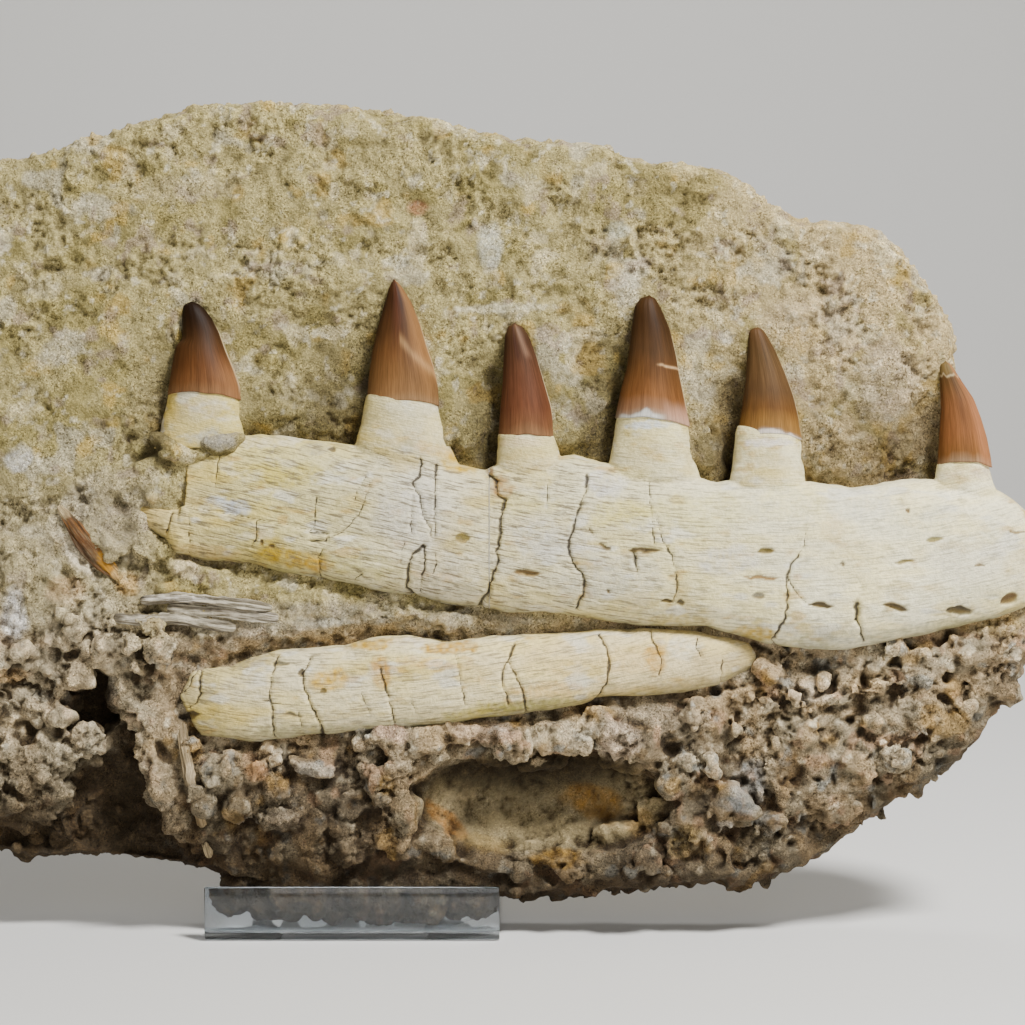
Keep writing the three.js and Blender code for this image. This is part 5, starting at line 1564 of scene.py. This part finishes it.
def crownPoints(tooth, crown):
    s = np.linspace(0, 1, crownShape["rings"])
    top = crown["left"][-1][0]
    foot = tooth["z"] - 0.2
    h = 1 - (1 - s) ** 1.7
    z = foot + h * (top - foot)
    left = valueAt(z, crown["left"])
    right = valueAt(z, crown["right"])
    shut = np.maximum(np.sqrt(np.clip((top - z) / 1.2, 0, 1)), 0.02)  # the tip closes to a small dome
    ridge = smoothed(smoothed((left + right) / 2, 16), 16)  # the steady line down the crown's front
    leftward = np.maximum(ridge - smoothed(left, 3), 0.6) * shut
    rightward = np.maximum(smoothed(right, 3) - ridge, 0.6) * shut
    half = np.maximum(smoothed(smoothed((right - left) / 2, 12), 12), 0.7) * shut
    turn = wholeTurn(crownShape["sides"])[None, :]
    across, forward = np.cos(turn), np.sin(turn)
    lens = np.sign(forward) * np.abs(forward) ** 1.12  # carinae along the two edges
    striae = crownShape["striae"] * noise(np.sin(turn) * 9, np.cos(turn) * 9, h[:, None] * 3)
    half = half[:, None]
    depth = half * crownShape["flatness"] * 1.02 + striae
    reach = np.where(across < 0, leftward[:, None], rightward[:, None])
    x = ridge[:, None] + across * (reach + striae * 0.5)
    y = -toothDepth["middle"] - lens * depth
    arch = crownShape["arch"] * (0.55 - across**2) * (1 - h[:, None]) ** 2
    wave = 0.35 * noise(across * 2.5 + top, 3, 0) * (1 - h[:, None]) ** 4
    lean = tooth["tilt"] * across * tooth["width"] / 2 * (1 - h[:, None])
    return np.stack([x, y, z[:, None] + arch + lean + wave], 2), h


def crownPaint(points, h, tooth, crown, number):
    rings, sides = points.shape[:2]
    x, y, z = points[..., 0], points[..., 1], points[..., 2]
    turn = wholeTurn(sides)[None, :]
    across = np.cos(turn) + 0 * h[:, None]
    level = h[:, None] + 0.035 * noise(np.cos(turn) * 4 + number, np.sin(turn) * 4, h[:, None] * 2)
    shades = sorted(crown["shades"])
    stops = np.array([linear(shade) for _, shade in shades])
    places = [place for place, _ in shades]
    colour = np.stack([np.interp(level, places, stops[:, n]) for n in range(3)], 2)
    fine = noise(np.cos(turn) * 16, np.sin(turn) * 16 + number, h[:, None] * 1.5)
    finer = noise(np.cos(turn) * 38, np.sin(turn) * 38, h[:, None] * 4 + number)
    soft = noise(np.cos(turn) * 3, number * 3.1, h[:, None] * 4)
    colour = colour * (0.46 + 0.1 * fine + 0.05 * finer + 0.06 * soft)[..., None]
    colour = mixed(colour, colour * 0.55, (0.8 * ease((level - 0.5) / 0.4))[..., None])  # darker to the tip

    def wash(mask, shade):
        nonlocal colour
        colour = mixed(colour, linear(shade), np.clip(mask, 0, 1)[..., None])

    sheltered = ease((0.8 - level) / 0.2) * ease((level - 0.05) / 0.1)
    wash(0.7 * ease((across - 0.95) / 0.035) * sheltered, "#cdb98f")  # the pale cut edge
    if number == 0:
        wash(0.35 * ease((across - 0.2) / 0.6) * ease((0.5 - level) / 0.3), "#a0704a")
    if number == 1:
        wash(0.55 * np.exp(-((across + 0.05) / 0.22) ** 2) * ease((level - 0.35) / 0.3), "#4c2a1a")
        wash(0.45 * ease((across - 0.25) / 0.4) * ease((level - 0.1) / 0.3), "#a37548")
        wash(0.4 * np.exp(-(((level - 0.42) + 0.25 * (across - 0.3)) / 0.05) ** 2) * (across > 0), "#b08a5c")
    if number == 2:
        streak = np.exp(-((across + 0.25 + 0.5 * (level - 0.9)) / 0.13) ** 2)
        wash(0.7 * streak * ease((level - 0.62) / 0.1), "#3c241c")
        streak = np.exp(-((across - 0.2 + 1.4 * (level - 0.9)) / 0.2) ** 2)
        wash(0.35 * streak * ease((level - 0.66) / 0.1), "#96735a")
    if number == 3:
        chip = h[:, None] - 0.44 - 0.006 * noise(across * 9, 6, 2)
        wash(0.8 * np.exp(-((chip / 0.009) ** 2)) * ease((across - 0.05) / 0.3), "#c9a477")
        wash(0.5 * ease((0.2 - level) / 0.16) * ease((across - 0.1) / 0.5), "#c79a80")
        band = 0.045 + 0.02 * noise(across * 5, 2, 7)
        pale = 0.85 * ease((band - level) / 0.03) * ease((0.4 - across) / 0.4)
        wash(pale * ease((across + 0.95) / 0.1), "#c4c3bb")
    if number == 4:
        wash(0.9 * ease((0.03 + 0.012 * noise(across * 5, 4, 1) - level) / 0.02), "#cfc3b6")
        wash(0.3 * np.exp(-((across + 0.6) / 0.2) ** 2), "#5a4026")
    if number == 5:
        wash(0.75 * ease((level - 0.86) / 0.03), "#6e5a33")
        wash(0.5 * np.exp(-((level - 0.855) / 0.012) ** 2), "#c9b487")
        # painted light: the right side of the crown lighter and warmer
        wash(0.35 * ease((across - 0.3) / 0.4), "#c08058")
    return colour


# Mosasaur enamel, prepared and polished: brown, glossy, finely streaked from base to tip.
enamelMaterial, enamelNodes, enamelShader = newMaterial(
    "polishedFossilEnamel", Roughness=0.52, IOR=1.55, Specular_IOR_Level=0.09
)


def streakedEnamel(tree, shader):
    paint = addNode(tree, "ShaderNodeAttribute", attribute_name="paint")["Color"]
    fibre = addNode(tree, "ShaderNodeAttribute", attribute_name="grain")["Vector"]
    along = addNode(
        tree, "ShaderNodeVectorMath", {0: fibre, 1: crownShape["streaks"]}, operation="MULTIPLY"
    )[0]
    fine = addNode(
        tree, "ShaderNodeTexNoise", {"Vector": along, "Scale": 1.0, "Detail": 2.0, "Roughness": 0.6}
    )[0]
    streaks = addNode(tree, "ShaderNodeMapRange", {0: fine, 1: 0.3, 2: 0.7, 3: 0.78, 4: 1.22})[0]
    base = addNode(
        tree, "ShaderNodeMix", {0: 1.0, 6: paint, 7: streaks}, data_type="RGBA", blend_type="MULTIPLY"
    )[2]
    tree.links.new(base, shader.inputs["Base Color"])
    bump = addNode(tree, "ShaderNodeBump", {"Strength": 0.18, "Distance": 0.0003, "Height": fine})[0]
    tree.links.new(bump, shader.inputs["Normal"])


streakedEnamel(enamelNodes, enamelShader)

for number, (tooth, crown) in enumerate(zip(teeth, crowns)):
    rings, h = crownPoints(tooth, crown)
    points, faces = loftShell(rings)
    obj = newObject(f"crown_{number + 1}", meshFrom(f"crown_{number + 1}", points, faces))
    colour = crownPaint(rings, h, tooth, crown, number).reshape(-1, 3)
    colour = np.concatenate([colour, colour[:1], colour[-1:]])
    storePaint(obj.data, colour, richness=1.0)
    turn = wholeTurn(crownShape["sides"])[None, :] + 0 * h[:, None]
    radius = tooth["width"] / 2
    rise = h[:, None] * tooth["height"] + 0 * turn
    grain = np.stack([np.cos(turn) * radius, np.sin(turn) * radius, rise], 2)
    grain = grain.reshape(-1, 3)
    storeField(obj.data, "grain", np.concatenate([grain, grain[:1], grain[-1:]]))
    finishPiece(obj, enamelMaterial, "tooth_enamel", f"tooth_crown_{number + 1}")
print("crowns set")

# Each splinter is one or more slivers. A sliver has its course (x, z), its half-width, how far it stands
# out of the face and is set into it, and how blunt its ends are
splinters = {
    "bone_splinter_upper": {
        "slivers": [
            {"line": [(-101.5, 151), (-93.5, 141), (-86.5, 132), (-80, 125)],
             "half": 3.2, "rise": 1.9, "blunt": 1.6},
        ],
        "set": 6, "tone": "#6d4925", "dark": "#34200e",
    },
    "bone_splinter_flat": {
        "slivers": [
            {"line": [(-82, 112.4), (-72, 111.6), (-62, 112), (-52.3, 110.6), (-39.5, 108.9)],
             "half": 2.0, "rise": 2.2, "blunt": 14},
            {"line": [(-73, 118.4), (-60, 119), (-47, 118.2), (-27, 115.6)],
             "half": 1.7, "rise": 3.0, "blunt": 14},
            {"line": [(-64, 115.4), (-50, 114.6), (-38, 113.6), (-25, 111.8)],
             "half": 2.0, "rise": 1.8, "blunt": 14},
        ],
        "set": 6, "tone": "#b8b09e", "dark": "#3f3628",
    },
    "bone_splinter_lower": {
        "slivers": [
            {"line": [(-59, 76), (-57.8, 68), (-56.2, 60), (-55.4, 53)],
             "half": 1.9, "rise": 2.2, "blunt": 6},
            {"line": [(-54, 49), (-52.6, 42), (-51.4, 34), (-50, 28)],
             "half": 1.7, "rise": 2.0, "blunt": 6},
        ],
        "set": 5, "tone": "#b3a183", "dark": "#5d503b",
    },
}
splinterStains = [
    (-84, 130.5, 5.5, 2.6, -48, "#b88a42", 0.85), (-99.5, 149.5, 3.5, 2.4, -50, "#cbb894", 0.85),
    (-93, 139.5, 5, 1.6, -48, "#5c3817", 0.5), (-80.5, 126.5, 3, 3, 0, "#c3a677", 0.8),
    (-60, 119, 12, 1.2, -2, "#cfc9bf", 0.7), (-45, 114, 10, 1.0, -5, "#8f8578", 0.5),
    (-72, 112, 8, 1.2, 0, "#c9bfae", 0.7), (-86, 115, 4, 3, -60, "#cbb98f", 0.7),
    (-30, 113, 6, 1.4, -8, "#bdb4a6", 0.6), (-55, 55, 2, 9, 10, "#c9b99d", 0.6),
    (-53, 40, 3, 4, 0, "#97805f", 0.6),
]


def sliverShell(shape, depthBehind, seed):
    line = np.array(shape["line"], float)
    legs = len(line) - 1
    ahead = np.vstack([2 * line[0] - line[1], line, 2 * line[-1] - line[-2]])
    t = np.linspace(0.004, 0.996, 150)
    leg = np.minimum((t * legs).astype(int), legs - 1)
    u = (t * legs - leg)[:, None]
    a, b, c, d = [ahead[leg + n] for n in range(4)]
    at = throughPoints(a, b, c, d, u)
    heading = np.gradient(at, axis=0)
    heading /= np.linalg.norm(heading, axis=1)[:, None]
    turn = wholeTurn(64)[None, :]
    full = np.sqrt(1 - np.abs(2 * t - 1) ** shape["blunt"])[:, None]
    length = np.linalg.norm(np.diff(at, axis=0), axis=1).sum()
    splints = 0.22 * noise(t[:, None] * length / 14 + seed, np.cos(turn) * 3.2, np.sin(turn) * 3.2)
    broken = 0.22 * noise(t[:, None] * length / 3, np.cos(turn) * 4 + seed, np.sin(turn) * 4)
    square = [np.sign(wave(turn)) * np.abs(wave(turn)) ** 0.6 for wave in (np.cos, np.sin)]
    across, forward = [part * full * (1 + splints + broken) for part in square]
    side = across * shape["half"]
    depth = np.where(forward > 0, forward * shape["rise"], forward * depthBehind)
    seat = frontDepth(at[:, 0], at[:, 1])
    seat = smoothed(seat, 12)[:, None]
    x = at[:, :1] - heading[:, 1:] * side
    z = at[:, 1:] + heading[:, :1] * side
    points, faces = loftShell(np.stack([x, -seat - depth, z], 2))
    along = t[:, None] * length + 0 * turn
    fibre = np.stack([along, 1 + 0 * t[:, None] * turn, side * 1.8 + 20 * seed], 2)
    return points, faces, np.concatenate([fibre.reshape(-1, 3), fibre[0, :1], fibre[-1, :1]])


for node, shape in splinters.items():
    shells = [sliverShell(sliver, shape["set"], n) for n, sliver in enumerate(shape["slivers"])]
    points, faces = joinShells([shell[:2] for shell in shells])
    fibre = np.concatenate([shell[2] for shell in shells])
    obj = newObject(node + "_piece", meshFrom(node + "_piece", points, faces))
    tone, dark = [linear(shape[key]) for key in ("tone", "dark")]
    shade = ease(0.45 + 0.9 * noise(fibre[:, 0] / 9, 2, fibre[:, 2] / 1.1))
    colour = mixed(tone, dark, (0.75 * shade)[:, None])
    paintSpots(points, colour, splinterStains)
    storePaint(obj.data, colour, richness=1.25)
    storeField(obj.data, "grain", fibre)
    storeField(obj.data, "crack", np.full(len(points), 4.0))
    finishPiece(obj, boneMaterial, "fossil_bone", node)
print("splinters laid")

acrylicLook = {
    "waves": 60.0, "smears": 240.0,  # how many a metre
    "clear": "#f2f7fb", "blue": "#e6eff7",
}

# Clear cast acrylic, sawn and flame-polished: colourless and glossy, seen mostly by its edges.
acrylicMaterial, acrylicNodes, acrylicShader = newMaterial(
    "clearCastAcrylic", Roughness=0.04, IOR=1.49, Transmission_Weight=1.0
)


def polishedAcrylic(tree, shader):
    place = addNode(tree, "ShaderNodeTexCoord")["Object"]
    waves = {"Vector": place, "Scale": acrylicLook["waves"], "Detail": 1.0}
    wave = addNode(tree, "ShaderNodeTexNoise", waves)[0]
    smears = {"Vector": place, "Scale": acrylicLook["smears"], "Detail": 4.0}
    smear = addNode(tree, "ShaderNodeTexNoise", smears)[0]
    dull = addNode(tree, "ShaderNodeMapRange", {0: smear, 1: 0.35, 2: 0.8, 3: 0.03, 4: 0.12})[0]
    tree.links.new(dull, shader.inputs["Roughness"])
    clear, blue = [(*linear(acrylicLook[name]), 1) for name in ("clear", "blue")]
    tint = addNode(tree, "ShaderNodeMix", {0: wave, 6: clear, 7: blue}, data_type="RGBA")[2]
    tree.links.new(tint, shader.inputs["Base Color"])
    bump = addNode(tree, "ShaderNodeBump", {"Strength": 0.05, "Distance": 0.0005, "Height": wave})[0]
    tree.links.new(bump, shader.inputs["Normal"])


polishedAcrylic(acrylicNodes, acrylicShader)


def easelSheet():  # the middle of the bent sheet: rows across it, with the tongue's hole left out
    radius = easel["bendRadius"] - easel["sheet"] / 2
    half, hole, tongue = easel["width"] / 2, easel["tongueHalf"] + easel["sawCut"], easel["tongueHalf"]
    flat = easel["sheet"] / 2
    lipY = easel["lipFront"] + easel["sheet"] / 2
    bendY, bendZ = easel["lipFront"] + easel["bendRadius"], easel["bendRadius"]
    start, lean = easel["tongueStart"], easel["tongueLean"]
    rows = [(lipY, easel["lipHeight"])]
    for t in np.linspace(math.pi, 1.5 * math.pi, 13):
        rows.append((bendY + radius * math.cos(t), bendZ + radius * math.sin(t)))
    plain = len(rows)
    rows += [(start, flat), (start + easel["tongueLength"] + easel["bendRadius"] + easel["sawCut"], flat)]
    rows.append((easel["backEnd"], flat))
    columns = [-half, -hole, -tongue, tongue, hole, half]
    points = [(x, y, z) for y, z in rows for x in columns]
    faces = []
    for r in range(len(rows) - 1):
        for c in range(5):
            if r == plain and 0 < c < 4:
                continue
            a = r * 6 + c
            faces.append((a, a + 1, a + 7, a + 6))
    last = (plain * 6 + 2, plain * 6 + 3)
    for t in np.linspace(1.5 * math.pi, 2 * math.pi - lean, 13)[1:]:
        y, z = start + radius * math.cos(t), easel["bendRadius"] + radius * math.sin(t)
        points += [(-tongue, y, z), (tongue, y, z)]
        faces.append((last[0], last[1], len(points) - 1, len(points) - 2))
        last = (len(points) - 2, len(points) - 1)
    y += easel["tongueLength"] * math.sin(lean)
    z += easel["tongueLength"] * math.cos(lean)
    points += [(-tongue, y, z), (tongue, y, z)]
    faces.append((last[0], last[1], len(points) - 1, len(points) - 2))
    return points, faces


points, faces = easelSheet()
easelPiece = newObject("easel", meshFrom("easel", points, faces))
thick = easelPiece.modifiers.new("sheet", "SOLIDIFY")
thick.thickness = easel["sheet"]
thick.offset = 0
thick.use_even_offset = True
bevel = easelPiece.modifiers.new("polishedEdge", "BEVEL")
bevel.width = easel["edge"]
bevel.segments = 3
bevel.limit_method = "ANGLE"
bevel.angle_limit = math.radians(50)
bake(easelPiece)
fixed = bmesh.new()
fixed.from_mesh(easelPiece.data)
bmesh.ops.recalc_face_normals(fixed, faces=fixed.faces)
fixed.to_mesh(easelPiece.data)
fixed.free()
easelPlace = (
    Matrix.Translation(((easelLow.x + easelHigh.x) / 2, easelLow.y + stance["lipAhead"], 0))
    @ Matrix.Scale(0.001, 4)
)
finishPiece(easelPiece, acrylicMaterial, "clear_acrylic", "stand_easel", place=easelPlace)
easelPiece.data.set_sharp_from_angle(angle=math.radians(40))
print("easel bent")

cove = {"half": 3.0, "front": -3.0, "turnAt": 1.6, "radius": 0.7, "top": 2.6, "paper": "#dcdad5"}


def coveSweep():  # a paper sweep: the floor, then a wide curve up to the wall
    rise = [
        (cove["turnAt"] + cove["radius"] * math.sin(t), cove["radius"] * (1 - math.cos(t)))
        for t in np.linspace(0, math.pi / 2, 17)
    ]
    line = [(cove["front"], 0.0), *rise, (rise[-1][0], cove["top"])]
    points = [(side * cove["half"], y, z) for y, z in line for side in (-1, 1)]
    faces = [(2 * n, 2 * n + 1, 2 * n + 3, 2 * n + 2) for n in range(len(line) - 1)]
    return points, faces


sweep = newObject("paperSweep", meshFrom("paperSweep", *coveSweep()))
paper = newMaterial("palePaperSweep", Roughness=0.85, Base_Color=(*linear(cove["paper"]), 1))[0]
sweep.data.materials.append(paper)
sweep.data.shade_smooth()

studio = {"air": "#e3e4e6", "glow": 0.1}
world = bpy.context.scene.world or bpy.data.worlds.new("studio")
bpy.context.scene.world = world
world.use_nodes = True
background = world.node_tree.nodes["Background"]
background.inputs[0].default_value = (*linear(studio["air"]), 1)
background.inputs[1].default_value = studio["glow"]

lamps = {
    "key": {"at": (0.62, -0.78, 1.3), "size": 0.32, "watts": 48},
    "fill": {"at": (0.25, -1.7, 0.55), "size": 1.0, "watts": 6.5},
    "sweepLight": {"at": (0, 1.0, 2.0), "size": 1.2, "watts": 26, "aim": (0, 2.2, 0.5)},
}
aim = Vector((0, -0.05, 0.15))
for name, lamp in lamps.items():
    data = bpy.data.lights.new(name, "AREA")
    data.size = lamp["size"]
    data.energy = lamp["watts"]
    obj = bpy.data.objects.new(name, data)
    bpy.context.scene.collection.objects.link(obj)
    obj.location = lamp["at"]
    target = Vector(lamp.get("aim", aim))
    obj.rotation_euler = (target - obj.location).to_track_quat("-Z", "Y").to_euler()

shot = {"across": 353.6, "away": 1000, "aimX": 55.5, "aimZ": 148.5, "sensor": 36}  # mm at the slab's face
cameraData = bpy.data.cameras.new("camera")
cameraData.sensor_width = shot["sensor"]
cameraData.lens = shot["sensor"] * shot["away"] / shot["across"]
cameraData.clip_start = 0.01
camera = bpy.data.objects.new("camera", cameraData)
bpy.context.scene.collection.objects.link(camera)
camera.location = slabPlace @ Vector((shot["aimX"], -slab["face"] - shot["away"], shot["aimZ"]))
camera.rotation_euler = (math.radians(90) - stance["lean"], 0, 0)
bpy.context.scene.camera = camera
print("lights and camera set")
